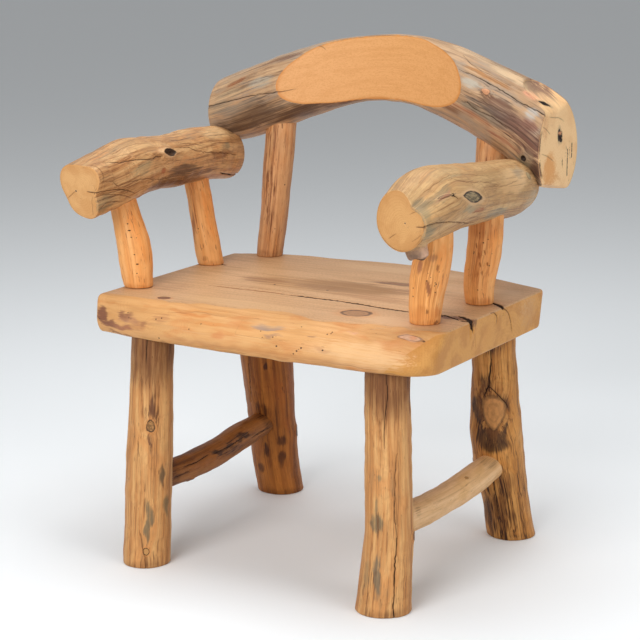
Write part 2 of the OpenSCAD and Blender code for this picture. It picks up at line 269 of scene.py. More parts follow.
def stains_and_painted_light_at(place, rows):
    """Stains, and a few patches of painted shade and painted light, from rows of where they lie, half length,
    half width, colour and strength.
    """
    return [dict(place=place(*at), size=(long, wide), colour=colour, power=power)
            for *at, long, wide, colour, power in rows]


def wear_and_shade_at(place, rows):
    """Wear and painted shade from rows of where they lie, half length, half width, and how much of holes,
    lines and shade.
    """
    return [(place(*at), (long, wide), (holes, lines, shade))
            for *at, long, wide, holes, lines, shade in rows]


def marks_on(log, knots=(), cracks=(), stains_and_painted_light=(), wear_and_shade=()):
    """A log's marks, from rows that place them by station and degrees."""
    place = partial(on_log, log)
    return dict(knots=knots_at(place, knots), cracks=[crack_on(log, *row) for row in cracks],
                stains_and_painted_light=stains_and_painted_light_at(place, stains_and_painted_light), wear_and_shade=wear_and_shade_at(place, wear_and_shade))


def even_steps(points):
    """The lengths along a line of points, and even steps over the same length."""
    lengths = np.concatenate([[0], np.cumsum(np.linalg.norm(np.diff(points, axis=0), axis=1))])
    return lengths, np.linspace(0, lengths[-1], max(3, int(lengths[-1] / CRACK_STEP) + 1))


def crack_widths(share, width, open_at, rng):
    """Half widths along a crack. It varies a little and narrows towards each end that isn't open."""
    narrow = np.ones(len(share))
    if "start" not in open_at:
        narrow = np.minimum(narrow, CRACK_TIP + share / CRACK_TAPER)
    if "finish" not in open_at:
        narrow = np.minimum(narrow, CRACK_TIP + (1 - share) / CRACK_TAPER)
    return width * narrow * (1 + rng.normal(0, 0.15, len(share)))


def crack_on(log, spots, width, depth, seed=1, open_at="", sway=0.35):
    """A crack on a log's skin through (station, degrees) spots."""
    rng = np.random.default_rng(seed)
    spots = np.array(spots, float)
    lengths, at = even_steps(np.array([on_log(log, k, d)[0] for k, d in spots]))
    k = np.interp(at, lengths, spots[:, 0])
    turned = np.degrees(np.unwrap(np.radians(spots[:, 1])))
    d = np.interp(at, lengths, turned) + np.degrees(rng.normal(0, sway, len(at)) / log.mean)
    line = np.array([on_log(log, kk, dd)[0] for kk, dd in zip(k, d)])
    return line, crack_widths(at / lengths[-1], width, open_at, rng), depth


def crack_through(points, width, depth, seed=1, open_at="", sway=0.35):
    """A crack through points on a flat or gently curved face."""
    rng = np.random.default_rng(seed)
    points = np.array(points, float)
    lengths, at = even_steps(points)
    line = np.stack([np.interp(at, lengths, points[:, i]) for i in range(3)], 1)
    off = rng.normal(0, sway, line.shape)
    off[[0, -1]] = 0
    return line + off, crack_widths(at / lengths[-1], width, open_at, rng), depth


def boxed(points, a, b):
    """Which points lie in the box between a and b, or close to it."""
    return ((points > np.minimum(a, b) - CRACK_REACH) & (points < np.maximum(a, b) + CRACK_REACH)).all(1)


def crack_field(points, normals, cracks):
    """For each point, the side distance to the nearest crack, the crack's half width and its depth there."""
    n = len(points)
    side, half, depth, best = np.full(n, 50.0), np.full(n, -50.0), np.zeros(n), np.full(n, 1e9)
    for line, widths, deep in cracks:
        round_line = np.where(boxed(points, line.min(0), line.max(0)))[0]
        last = len(line) - 2
        for i, (a, b) in enumerate(zip(line[:-1], line[1:])):
            near = round_line[boxed(points[round_line], a, b)]
            if not len(near):
                continue
            p, m = points[near], normals[near]
            run = b - a
            length = np.linalg.norm(run)
            run = run / length
            t = (p - a) @ run
            foot = a + np.clip(t, 0, length)[:, None] * run
            away = np.linalg.norm(p - foot, axis=1)
            across = ((p - a) * np.cross(m, run)).sum(1)
            over = np.where(t < 0, -t * (i == 0), np.where(t > length, (t - length) * (i == last), 0.0))
            w = widths[i] + (widths[i + 1] - widths[i]) * np.clip(t / length, 0, 1) - 0.5 * over
            closer = away - np.maximum(w, 0) < best[near]
            pick = near[closer]
            best[pick] = (away - np.maximum(w, 0))[closer]
            steep = np.abs(m @ run) > 0.5
            side[pick] = np.where((over > 0) | steep, np.sign(across) * away, across)[closer]
            half[pick] = w[closer]
            depth[pick] = deep
    return side, half, depth


def knot_field(points, knots):
    """Knot coordinates and looks of each point, and how far knots lift it and turn the grain aside.

    A look is the disc's tone, how dark its rim is and how mottled the disc is.
    """
    n = len(points)
    where, looks = np.tile([9.0, 9.0, 0.0], (n, 1)), np.tile([0.5, 0.0, 0.0], (n, 1))
    best, lift, aside = np.full(n, 9.0), np.zeros(n), np.zeros(n)
    for k in knots:
        p, out, run = k["place"]
        across = np.cross(out, run)
        c, s = math.cos(math.radians(k["turn"])), math.sin(math.radians(k["turn"]))
        run, across = c * run + s * across, c * across - s * run
        rx, ry = k["size"]
        d = points - p
        near = np.where((np.abs(d) < 6 * max(rx, ry) + 6).all(1) & (np.abs(d @ out) < 30))[0]
        if not len(near):
            continue
        x, y = d[near] @ run / rx, d[near] @ across / ry
        y = y / np.clip(1 - k["almond"] * x ** 2 + k["taper"] * x, 0.3, 2)
        q = np.hypot(x, y)
        closer = q < best[near]
        pick = near[closer]
        best[pick] = q[closer]
        where[pick] = np.stack([x, y, q], 1)[closer]
        looks[pick] = [k["tone"], k["dark"], k["mottle"]]
        lift[near] += k["swell"] * np.exp(-(q / k["spread"]) ** 2)
        lift[near] += k["rim"] * np.exp(-((q - 1.1) / 0.28) ** 2)
        lift[near] -= k["deep"] * (1 - smooth(0.45, 1.0, q))
        if k["stub"]:
            torn = np.sin(x * 5.0 + 1.0) + np.sin(y * 6.0 + x * 3.0)
            lift[near] += (k["stub"] + 1.6 * torn) * (1 - smooth(0.72, 1.12, q))
        if k["flow"]:
            aside[near] -= ry * y / np.maximum(q, 1) ** 2 * (1 - smooth(2.5, 6.0, q))
    return where, looks, lift, aside


def wandered(points, seed):
    """The points pushed about, so that what is placed by them gets an uneven outline."""
    rng = np.random.default_rng(seed)
    total = points.copy()
    for length in WANDER_LENGTHS:
        way, push = unit(rng.normal(size=3)), rng.normal(size=3)
        phase = rng.uniform(0, 6)
        total += WANDER * length * np.sin(points @ way * 2 * math.pi / length + phase)[:, None] * push
    return total


def oval(points, place, size, depth):
    """How far points lie from the middle of an oval mark, in half sizes. It reaches depth or deeper."""
    p, out, run = place
    d = points - p
    across = np.cross(out, run)
    deep = max(min(size), depth)
    return np.sqrt((d @ run / size[0]) ** 2 + (d @ across / size[1]) ** 2 + (d @ out / deep) ** 2)


def wear_and_shade_field(points, wear_and_shade):
    """At each point, how many insect holes there are, how strong dark lines are and how dark it is, which in
    many places is painted shade.
    """
    total = np.zeros((len(points), 3))
    for place, size, amounts in wear_and_shade:
        strength = 1 - smooth(0.4, 1.25, oval(points, place, size, WEAR_AND_SHADE_DEPTH))
        total += strength[:, None] * np.array(amounts, float)
    return total


def stain_and_painted_light_field(points, stains_and_painted_light):
    """The colour and the strength of the stains at each point. A few of them are painted shade and painted
    light.
    """
    total = np.zeros((len(points), 3))
    clear = np.ones(len(points))
    weight = np.full(len(points), 1e-6)
    for s in stains_and_painted_light:
        power = s["power"] * (1 - smooth(0.35, 1.25, oval(points, s["place"], s["size"], STAIN_AND_PAINTED_LIGHT_DEPTH)))
        total += power[:, None] * np.array(hexed(s["colour"])[:3])
        weight += power
        clear *= 1 - np.clip(power, 0, 1)
    return np.concatenate([total / weight[:, None], (1 - clear)[:, None]], 1)


def hexed(code):
    """A colour written as rrggbb, as the linear values that Blender uses."""
    parts = [int(code[i:i + 2], 16) / 255 for i in (0, 2, 4)]
    return tuple([c / 12.92 if c <= 0.04045 else ((c + 0.055) / 1.055) ** 2.4 for c in parts] + [1.0])


# Meshes. The field called marks holds how far a point lies within a planed cut, its growth ring, and
# how far it lies within a sawn end.

CUT_END = 12.0
CUT_NONE = -6.0
CUT_MOST = 4.0
CAP_RINGS = 15
EDGE_ROWS = np.array([0, 0.15, 0.4, 0.75, 1.25])
ON_RIM = 0.2
LEVEL_ENDS = 14.0
FACING = 0.4
HOLLOW_NEAR = 3.0
HOLLOW_SOFT = 0.8


def marked(points, normals, knots, cracks):
    """Fields for knots and cracks, how far they lift and cut each point, and the turn of the grain."""
    where, looks, lift, aside = knot_field(points, knots)
    side, half, depth = crack_field(points, normals, cracks)
    fields = {"crack_at": np.stack([side, half, depth], 1), "knot_at": where, "knot_look": looks}
    return fields, lift, groove(side, half, depth, np.maximum(half, 0) + 1.0), aside


def groove(side, half, depth, bank):
    """How deep a crack cuts each point: a V that ends a bank's width from the crack's middle."""
    return depth * np.clip(1 - np.abs(side) / bank, 0, 1) * (half > 0)


def toned(points, seed, stains_and_painted_light, wear_and_shade):
    """Fields for stains and wear, with the painted shade and painted light that some of their rows carry."""
    uneven = wandered(points, seed)
    return {"tint": stain_and_painted_light_field(uneven, stains_and_painted_light), "wear_and_shade_at": wear_and_shade_field(uneven, wear_and_shade)}


def grid_faces(rows, cols, base=0):
    """Quads of a grid that closes on itself across its columns."""
    i = np.arange(rows - 1)[:, None] * cols
    j = np.arange(cols)[None, :]
    nxt = (j + 1) % cols
    return np.stack([i + j, i + nxt, i + cols + nxt, i + cols + j], -1).reshape(-1, 4) + base


class Parts:
    """Collects the points, fields and faces of a piece: its skin first, then its two end faces."""

    def __init__(self, points, fields, rows, cols):
        self.cols = cols
        self.border = {False: np.arange(cols), True: np.arange(cols) + (rows - 1) * cols}
        self.points, self.fields = [points], {key: [values] for key, values in fields.items()}
        self.faces, self.fans = [grid_faces(rows, cols)], []
        self.total = len(points)

    def add_cap(self, far, points, fields, rings):
        """Adds an end face: rings of points from the rim inwards, and perhaps a middle point."""
        border, first = self.border[far], self.total + np.arange(self.cols)
        inner = first + (rings - 1) * self.cols
        self.faces += [ordered(np.stack([border, first, np.roll(first, -1), np.roll(border, -1)], 1), far),
                       ordered(grid_faces(rings, self.cols, self.total)[:, ::-1], far)]
        if len(points) > rings * self.cols:
            middle = np.full(self.cols, self.total + rings * self.cols)
            self.fans += ordered(np.stack([inner, middle, np.roll(inner, -1)], 1), far).tolist()
        self.points.append(points)
        for key, values in fields.items():
            self.fields[key].append(values)
        self.total += len(points)

    def piece(self, node, material, slot):
        """The finished object, which rides on the root and stands for one node of the solids."""
        name = node + "_wood"
        points = (np.concatenate(self.points) + SHIFT) * METRE
        mesh = bpy.data.meshes.new(name)
        mesh.from_pydata(points.tolist(), [], np.concatenate(self.faces).tolist() + self.fans)
        for key, values in self.fields.items():
            values = np.concatenate(values).astype(np.float32)
            kind, part = ("FLOAT_COLOR", "color") if values.shape[1] == 4 else ("FLOAT_VECTOR", "vector")
            mesh.attributes.new(key, kind, "POINT").data.foreach_set(part, values.ravel())
        mesh.polygons.foreach_set("use_smooth", np.ones(len(mesh.polygons), bool))
        mesh.materials.append(material)
        mesh.update()
        piece = bpy.data.objects.new(name, mesh)
        bpy.context.scene.collection.objects.link(piece)
        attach(piece, "root")
        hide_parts(node)
        return piece


def ordered(faces, far):
    """Faces turned round for a far end, so that they look outwards."""
    return faces[:, ::-1] if far else faces


def skin_rows(s0, s1, edge, cell):
    """The lengths along a log of each row of points, drawn together at its worn ends."""
    near = EDGE_ROWS * edge
    inner = max(4, int((np.mean(s1 - s0) - 2 * near[-1]) / cell))
    t = np.linspace(0, 1, inner)[1:-1]
    return np.concatenate([s0 + near[:, None], (s0 + near[-1]) + t[:, None] * (s1 - s0 - 2 * near[-1]),
                           s1 - near[::-1][:, None]])


def log_skin(log, s, s0, s1, a, marks, edge, waves, seed, hollow):
    """The skin's points and fields, and the share of the radius that its two rims reach."""
    a = np.broadcast_to(a, s.shape)
    flat, out, r = log.spot(log.k_of(s), a)
    here = flat - r[..., None] * out
    from_end = np.minimum(s - s0, s1 - s)
    knots = [knot for knot in marks["knots"] if not knot["on_end"]]
    fields, raised, sunk, aside = marked(flat.reshape(-1, 3), out.reshape(-1, 3), knots, marks["cracks"])
    fields.update(toned(flat.reshape(-1, 3), seed, marks["stains_and_painted_light"], marks["wear_and_shade"]))
    lift = waves * Waves(seed)(s, a) * smooth(0, LEVEL_ENDS, from_end)
    lift = lift + raised.reshape(s.shape) - sunk.reshape(s.shape)
    skin_r = r + lift
    cut, behind = CUT_NONE, 0.0
    if hollow is not None:
        past = skin_r - hollow_radius(here, out, hollow)
        skin_r = skin_r - np.where(past > -HOLLOW_NEAR, soft_over(past, HOLLOW_SOFT), 0.0)
        cut, behind = np.clip(past - 0.3, CUT_NONE, CUT_MOST), np.maximum(past, 0)
    inset = worn(from_end, edge)
    on_rim = from_end <= ON_RIM * edge
    skin_r = skin_r - inset
    turned = a + aside.reshape(s.shape) / log.mean
    ring = log.mean + 1.4 * lift - inset - behind
    fields["grain_at"] = np.stack([ring * np.cos(turned), ring * np.sin(turned), s], -1).reshape(-1, 3)
    cut, sawn = np.where(on_rim, CUT_END, cut), np.where(on_rim, 1.0, -from_end)
    fields["marks"] = np.stack([cut, ring, sawn], -1).reshape(-1, 3)
    return (here + skin_r[..., None] * out).reshape(-1, 3), fields, skin_r[[0, -1]] / r[[0, -1]]


def log_cap(log, station, a, rim, facing, marks, seed, pith):
    """An end face's points and fields: rings from just inside its rim, and its middle point."""
    shares = np.linspace(1, 0, CAP_RINGS + 2)[1:-1]
    inward = smooth(1.0, 0.9, np.append(np.repeat(shares, len(a)), 0.0))
    share = np.append((shares[:, None] * rim).ravel(), 0.0)
    angle = np.append(np.tile(a, len(shares)), 0.0)
    k = station(angle, share)
    flat = log.spot(k, angle, share)[0]
    normals = np.tile(facing, (len(flat), 1))
    knots = [knot for knot in marks["knots"] if knot["on_end"]]
    stains_and_painted_light = [stain_and_painted_light for stain_and_painted_light in marks["stains_and_painted_light"] if stain_and_painted_light["place"][1] @ facing > FACING]
    fields, raised, sunk, _ = marked(flat, normals, knots, marks["cracks"])
    points = flat + ((raised - sunk) * inward)[:, None] * normals
    fields.update(toned(points, seed, stains_and_painted_light, marks["wear_and_shade"]))
    x, y, bowed = share * np.cos(angle), share * np.sin(angle), 1 - share ** 2
    ring = log.mean * np.hypot(x - pith[0] * bowed, y - pith[1] * bowed)
    full = np.full(len(flat), CUT_END)
    fields["grain_at"] = np.stack([log.mean * x, log.mean * y, log.s_of(k)], 1)
    fields["marks"] = np.stack([full, ring, full], 1)
    return points, fields


def log_piece(node, log, material, slot, marks, cell=2.0, start=None, finish=None, edge=2.5, waves=0.4,
              seed=1, hollow=None, pith=(0.0, 0.0), run_on=0.0):
    """A log's own mesh, from its start to its finish, with saw cuts, knots, cracks and stains."""
    cols = int(2 * math.pi * log.mean / cell)
    a = np.arange(cols) * 2 * math.pi / cols
    cuts = ((False, start), (True, finish))
    stations = [partial(end_station, log, far, planes, run_on) for far, planes in cuts]
    s0, s1 = [log.s_of(station(a, 1 - edge / log.mean)) for station in stations]
    s = skin_rows(s0, s1, edge, cell)
    points, fields, rims = log_skin(log, s, s0, s1, a, marks, edge, waves, seed, hollow)
    parts = Parts(points, fields, len(s), cols)
    for far, planes in cuts:
        facing = unit(planes[0][1]) if planes else log.frame(stations[far](0, 0))[1] * (1 if far else -1)
        points, fields = log_cap(log, stations[far], a, rims[int(far)], facing, marks, seed, pith)
        parts.add_cap(far, points, fields, CAP_RINGS)
    return parts.piece(node, material, slot)


def soft_over(x, k):
    """x where it is well above 0, 0 well below, and a small round between."""
    return 0.5 * (x + np.sqrt(x * x + k * k)) - 0.5 * (np.sqrt(HOLLOW_NEAR ** 2 + k * k) - HOLLOW_NEAR)


def hollow_radius(here, out, hollow):
    """How far from the middle line each outward line enters the round hollow."""
    centre, axis, radius = hollow
    d = here - centre
    d = d - (d @ axis)[..., None] * axis
    o = out - (out @ axis)[..., None] * axis
    a = (o * o).sum(-1)
    b = (d * o).sum(-1)
    c = (d * d).sum(-1) - radius * radius
    root = b * b - a * c
    enter = (-b - np.sqrt(np.maximum(root, 0))) / np.maximum(a, 1e-9)
    return np.where((root > 0) & (enter > 0), enter, 1e3)


# Materials

class Graph:
    """Short calls for building a node tree. Each returns the socket that holds its result."""

    def __init__(self, name):
        self.material = bpy.data.materials.new(name)
        self.material.use_nodes = True
        self.tree = self.material.node_tree
        self.tree.nodes.clear()

    def node(self, kind, inputs=(), **settings):
        """A node, with values or sockets for its inputs by name or number."""
        n = self.tree.nodes.new("ShaderNode" + kind)
        for key, value in settings.items():
            setattr(n, key, value)
        for key, value in dict(inputs).items():
            if isinstance(value, bpy.types.NodeSocket):
                self.tree.links.new(value, n.inputs[key])
            else:
                n.inputs[key].default_value = value
        return n

    def vector(self, name):
        return self.node("Attribute", attribute_name=name).outputs["Vector"]

    def split(self, vector):
        return self.node("SeparateXYZ", {0: vector}).outputs

    def math(self, operation, a, b=0.0, clamp=False):
        return self.node("Math", {0: a, 1: b}, operation=operation, use_clamp=clamp).outputs[0]

    def plus(self, a, b, clamp=False):
        return self.math("ADD", a, b, clamp)

    def minus(self, a, b):
        return self.math("SUBTRACT", a, b)

    def times(self, a, b, clamp=False):
        return self.math("MULTIPLY", a, b, clamp)

    def swing(self, noise, by):
        """A noise made to swing about 0."""
        return self.times(self.minus(noise, 0.5), by)

    def placed(self, vector, scale, shift):
        return self.node("Mapping", {"Vector": vector, "Scale": scale, "Location": shift}).outputs[0]

    def noise(self, vector, detail, rough, bent=0.0):
        return self.node("TexNoise", {"Vector": vector, "Scale": 1.0, "Detail": detail, "Roughness": rough,
                                      "Distortion": bent}).outputs["Fac"]

    def step(self, value, low, high, out_low=0.0, out_high=1.0):
        return self.node("MapRange", {"Value": value, "From Min": low, "From Max": high, "To Min": out_low,
                                      "To Max": out_high}, interpolation_type="SMOOTHSTEP").outputs[0]

    def over(self, under, colour, amount, by=None):
        """A colour laid over another as strongly as amount says, times by. Colours are codes or sockets."""
        if by is not None:
            amount = self.times(amount, by)
        under, colour = [hexed(c) if isinstance(c, str) else c for c in (under, colour)]
        return self.node("Mix", {"Factor": amount, 6: under, 7: colour}, data_type="RGBA", blend_type="MIX",
                         clamp_factor=True).outputs[2]

    def finished(self, colour, rough, height, strength, distance, gloss):
        """The material, from its colour, its roughness and the height of its fine relief."""
        bump = self.node("Bump", {"Height": height, "Strength": strength, "Distance": distance})
        shader = self.node("BsdfPrincipled", {"Base Color": colour, "Roughness": rough,
                                              "Normal": bump.outputs[0], "Specular IOR Level": gloss})
        self.node("OutputMaterial", {"Surface": shader.outputs[0]})
        return self.material


# A look's colours are rrggbb codes. What ends in _by or names a pattern says how strongly it shows.
WOOD_LOOK = dict(fleck_by=0.7, fleck_from=0.8, ring_mm=3.2, planed_ring=0.25, planed_streak=0.35, hair=0.4,
                 nap=0.4, band=0.0, end_ring=0.3, end_mm=400.0, blend=0.2, lines_planed=0.0,
                 stain_and_shade_planed=False, halo_by=0.5, knot_pale="b98a5c")
BAND = "c47c38"
HOLE_COLOUR = "2c1a10"
KNOT_BLACK, KNOT_RING, KNOT_MOTTLE, KNOT_RIM = "1d120b", "3a2415", "1d140d", "2a1a10"
CRACK_BLACK = "1c100a"
WOOD_BUMP, WOOD_RELIEF = 0.55, 0.001


class Wood(Graph):
    """Peeled, sawn or planed wood, with the fields and the noises that all its parts use."""

    def __init__(self, name, look):
        super().__init__(name)
        self.look = look
        self.shift = shift = look["shift"]
        self.grain = self.vector("grain_at")
        self.cut, self.ring, self.sawn = self.split(self.vector("marks"))
        self.holes_by, self.lines_by, self.shade_by = self.split(self.vector("wear_and_shade_at"))
        tint = self.node("Attribute", attribute_name="tint")
        self.tint, self.tint_by = tint.outputs["Color"], tint.outputs["Alpha"]
        self.fibre = self.grained((0.8, 0.8, 0.022), (shift, 0, 0), 4.0, 0.6)
        self.hair = self.grained((2.6, 2.6, 0.05), (0, shift, 0), 2.0, 0.6)
        self.streak = self.grained((0.13, 0.13, 0.0065), (0, 0, shift), 4.0, 0.6, 0.3)
        self.blotch = self.grained((0.034, 0.034, 0.013), (shift, shift, 0), 3.0, 0.55, 0.4)
        self.fine = self.grained((0.35, 0.35, 0.1), (0, 0, 0), 3.0, 0.6)
        self.lines = self.grained((0.55, 0.55, 0.008), (shift, 4.1, shift), 3.5, 0.55, 0.2)

    def grained(self, scale, shift, *values):
        """A noise stretched along the grain."""
        return self.noise(self.placed(self.grain, scale, shift), *values)


def skin_colour(g):
    """The natural surface under the bark."""
    look = g.look
    skin = g.over(look["light"], look["mid"], g.step(g.streak, 0.36, 0.64))
    skin = g.over(skin, look["dark"], g.step(g.fibre, 0.46, 0.72), look["fibre"])
    skin = g.over(skin, look["warm"], g.step(g.blotch, 0.5, 0.68), look["warm_by"])
    if look["grey_by"] > 0:
        weather = g.plus(g.times(g.blotch, 0.6), g.times(g.streak, 0.4))
        sooner = 0.2 * look["grey_by"]
        skin = g.over(skin, look["grey"], g.step(weather, 0.62 - sooner, 0.74 - sooner), look["grey_most"])
    contour = g.math("SINE", g.times(g.plus(g.ring, g.times(g.fine, 1.2)), 2 * math.pi / 1.1))
    skin = g.over(skin, look["dark"], g.step(contour, 0.2, 1.0), look["contour"])
    spots = g.plus(g.grained((0.42, 0.42, 0.055), (3.1, g.shift, 1.7), 2.0, 0.5), g.times(g.blotch, 0.22))
    flecked = g.step(spots, look["fleck_from"], look["fleck_from"] + 0.06)
    return g.over(skin, look["fleck"], flecked, look["fleck_by"])


def cut_colours(g):
    """Planed faces, which cut through the growth rings, and sawn ends, which cut across them."""
    look = g.look
    wave = g.math("FRACT", g.math("DIVIDE", g.plus(g.ring, g.swing(g.fine, 2.4)), look["ring_mm"]))
    late = g.times(g.step(wave, 0.25, 0.92), g.step(wave, 1.0, 0.93))
    nap = g.grained((0.5, 0.5, 0.25), (0, 0, 0), 4.0, 0.65)
    planed, ends = look["planed"], look["end"]
    for amount, by in ((late, look["planed_ring"]), (g.step(g.streak, 0.42, 0.66), look["planed_streak"]),
                       (g.step(g.hair, 0.5, 0.76), look["hair"]), (g.step(nap, 0.46, 0.64), look["nap"])):
        planed = g.over(planed, look["planed_dark"], amount, by)
    planed = g.over(planed, BAND, g.step(g.cut, 3.2, 0.2), look["band"])
    outer = g.step(g.ring, 0.55 * look["end_mm"], look["end_mm"])
    for amount, by in ((late, look["end_ring"]), (g.step(g.blotch, 0.42, 0.66), 0.45),
                       (g.step(nap, 0.5, 0.7), 0.4), (outer, 0.5)):
        ends = g.over(ends, look["end_dark"], amount, by)
    return planed, ends


def base_colour(g):
    """The three surfaces, each in its place. It also says where the natural and the planed surface are."""
    planed, ends = cut_colours(g)
    is_planed = g.step(g.plus(g.cut, g.swing(g.fine, 0.8)), 0.05 - g.look["blend"], 0.05 + g.look["blend"])
    is_end = g.step(g.plus(g.sawn, g.swing(g.fine, 1.2)), -0.5, 0.3)
    is_skin = g.times(g.minus(1.0, is_planed), g.minus(1.0, is_end))
    return g.over(g.over(skin_colour(g), planed, is_planed), ends, is_end), is_skin, is_planed


def stained(g, colour, is_skin, is_planed, where_lines):
    """Adds stains with streaky edges, a few of them painted shade and painted light, dark lines along the
    grain, and darkened places, many of them painted shade.
    """
    look = g.look
    lined = g.times(g.step(where_lines, 0.54, 0.7), g.plus(look["lines"], g.lines_by))
    lined = g.times(lined, g.plus(is_skin, look["lines_planed"], clamp=True), clamp=True)
    uneven = g.minus(g.plus(g.times(g.streak, 0.9), g.times(g.lines, 1.1)), 1.0)
    # Stains, a few of them painted shade and painted light, with streaky edges.
    stain_and_painted_light = g.step(g.plus(g.tint_by, g.times(uneven, 1.4)), 0.22, 0.95)
    stain_and_painted_light = g.times(stain_and_painted_light, g.step(g.tint_by, 0.0, 0.35))
    # Painted shade: the third value of the wear and shade field darkens the wood, broken up by the streaks.
    shade = g.times(g.shade_by, g.step(g.streak, 0.3, 0.7, 0.75, 1.0), clamp=True)
    if not look["stain_and_shade_planed"]:
        outside = g.minus(1.0, g.times(is_planed, g.step(g.cut, 8.0, 6.0)))
        stain_and_painted_light, shade = g.times(stain_and_painted_light, outside), g.times(shade, outside)
    colour = g.over(colour, g.tint, stain_and_painted_light, 0.85)
    colour = g.over(colour, look["dark"], lined)
    return g.over(colour, look["dark"], shade)


def insect_holes(g):
    """Small round holes. The wear says how many there are."""
    place = g.placed(g.grain, (0.17, 0.17, 0.17), (g.shift, 0, g.shift))
    cells = g.node("TexVoronoi", {"Vector": place, "Scale": 1.0})
    picked = g.math("LESS_THAN", g.split(cells.outputs["Color"])[0], g.holes_by)
    return g.times(g.step(cells.outputs["Distance"], 0.25, 0.15), picked)


def knotted(g, colour):
    """Adds the knots: a disc with a dark rim and a halo. It also says where the rims are."""
    look = g.look
    x, y, _ = g.split(g.vector("knot_at"))
    tone, rim_by, mottled_by = g.split(g.vector("knot_look"))
    plain = g.math("SQRT", g.plus(g.times(x, x), g.times(y, y)))
    around = g.node("CombineXYZ", {0: g.times(x, 1.7), 1: g.times(y, 1.7)}).outputs[0]
    ragged = g.noise(around, 3.0, 0.6)
    broken = g.noise(g.placed(around, (1.6, 1.6, 1.0), (5.0, 3.0, g.shift)), 3.0, 0.6)
    q = g.plus(plain, g.swing(ragged, 0.4))
    halo = g.times(g.times(g.step(q, 1.9, 1.1), look["halo_by"]), g.step(rim_by, 0.3, 0.6))
    colour = g.over(colour, look.get("halo", look["warm"]), halo)
    disc = g.over(KNOT_BLACK, look["knot"], g.step(tone, 0.0, 0.5))
    disc = g.over(disc, look["knot_pale"], g.step(tone, 0.5, 1.0))
    disc = g.over(disc, g.tint, g.step(tone, 1.0, 1.5))
    disc = g.over(disc, KNOT_RING, g.step(g.math("SINE", g.times(q, 16.0)), -0.2, 1.0), 0.16)
    disc = g.over(disc, KNOT_MOTTLE, g.step(broken, 0.44, 0.56), mottled_by)
    colour = g.over(colour, disc, g.step(q, 1.0, 0.88))
    rim = g.times(g.times(g.step(q, 0.74, 0.92), g.step(q, 1.12, 0.98)), g.step(broken, 0.3, 0.5, 0.55, 1.0))
    return g.over(colour, KNOT_RIM, rim, rim_by), rim


def cracked(g, colour):
    """Adds the cracks: deep ones are black, shallow ones brown. It also says where they are open."""
    side, half, depth = g.split(g.vector("crack_at"))
    apart = g.minus(g.math("ABSOLUTE", side), g.plus(half, g.swing(g.fine, 0.5)))
    is_open = g.step(apart, 0.3, -0.15)
    beside = g.times(g.step(apart, 2.0, 0.2), g.times(g.step(half, -0.1, 0.4), 0.3))
    colour = g.over(colour, g.look["dark"], beside)
    inside = g.over(g.look["dark"], CRACK_BLACK, g.step(depth, 0.5, 1.6))
    return g.over(colour, inside, is_open, g.step(depth, 0.2, 1.6, 0.6, 0.95)), is_open


def wood(name, **look):
    """A wood with its surfaces, stains with painted shade and painted light, insect holes, knots, cracks and
    fine relief, laid on in that order.
    """
    g = Wood(name, dict(WOOD_LOOK, **look))
    where_lines = g.plus(g.plus(g.lines, g.swing(g.streak, 0.55)), g.times(g.lines_by, 0.12))
    colour, is_skin, is_planed = base_colour(g)
    colour = stained(g, colour, is_skin, is_planed, where_lines)
    holes = insect_holes(g)
    colour = g.over(colour, HOLE_COLOUR, holes, 0.85)
    colour, rim = knotted(g, colour)
    colour, is_open = cracked(g, colour)
    rough = g.plus(g.plus(0.5, g.swing(g.fibre, 0.25)), g.times(is_open, 0.4), clamp=True)
    height = g.plus(g.plus(g.times(g.fibre, 0.45), g.times(g.hair, 0.22)), g.times(g.streak, 0.5))
    height = g.minus(height, g.times(g.step(where_lines, 0.54, 0.68), 0.5))
    height = g.times(height, g.step(g.cut, 0.0, 0.3, 1.0, 0.3))
    for amount, deep in ((is_open, 1.6), (rim, 0.5), (holes, 0.8)):
        height = g.minus(height, g.times(amount, deep))
    return g.finished(colour, rough, height, WOOD_BUMP, WOOD_RELIEF, g.look["gloss"])


def dowel_wood():
    """Turned wood for the hidden dowels, with its grain along the rail's height."""
    g = Graph("dowel_wood")
    place = g.node("TexCoord").outputs["Object"]
    fibre = g.noise(g.placed(place, (900.0, 900.0, 45.0), (0, 0, 0)), 3.0, 0.6)
    tone = g.noise(g.placed(place, (60.0, 60.0, 20.0), (0, 0, 0)), 2.0, 0.5)
    colour = g.over("dcb27c", "b98a52", g.step(fibre, 0.4, 0.7))
    colour = g.over(colour, "c99a60", g.step(tone, 0.45, 0.65), 0.4)
    return g.finished(colour, g.step(fibre, 0.2, 0.8, 0.45, 0.65), fibre, 0.4, 0.0005, 0.5)


LEG = dict(light="d8a56a", mid="c2864e", dark="6a4224", warm="c98448", warm_by=0.55, grey="8d7a58",
           grey_by=0.3, grey_most=0.45, fleck="4b2c1a", planed="d8a468", planed_dark="b07c46", end="c79a66",
           end_dark="8f6238", fibre=0.3, lines=0.5, contour=0.08, knot="7a5032", knot_pale="c79358",
           gloss=0.25, shift=1.3)
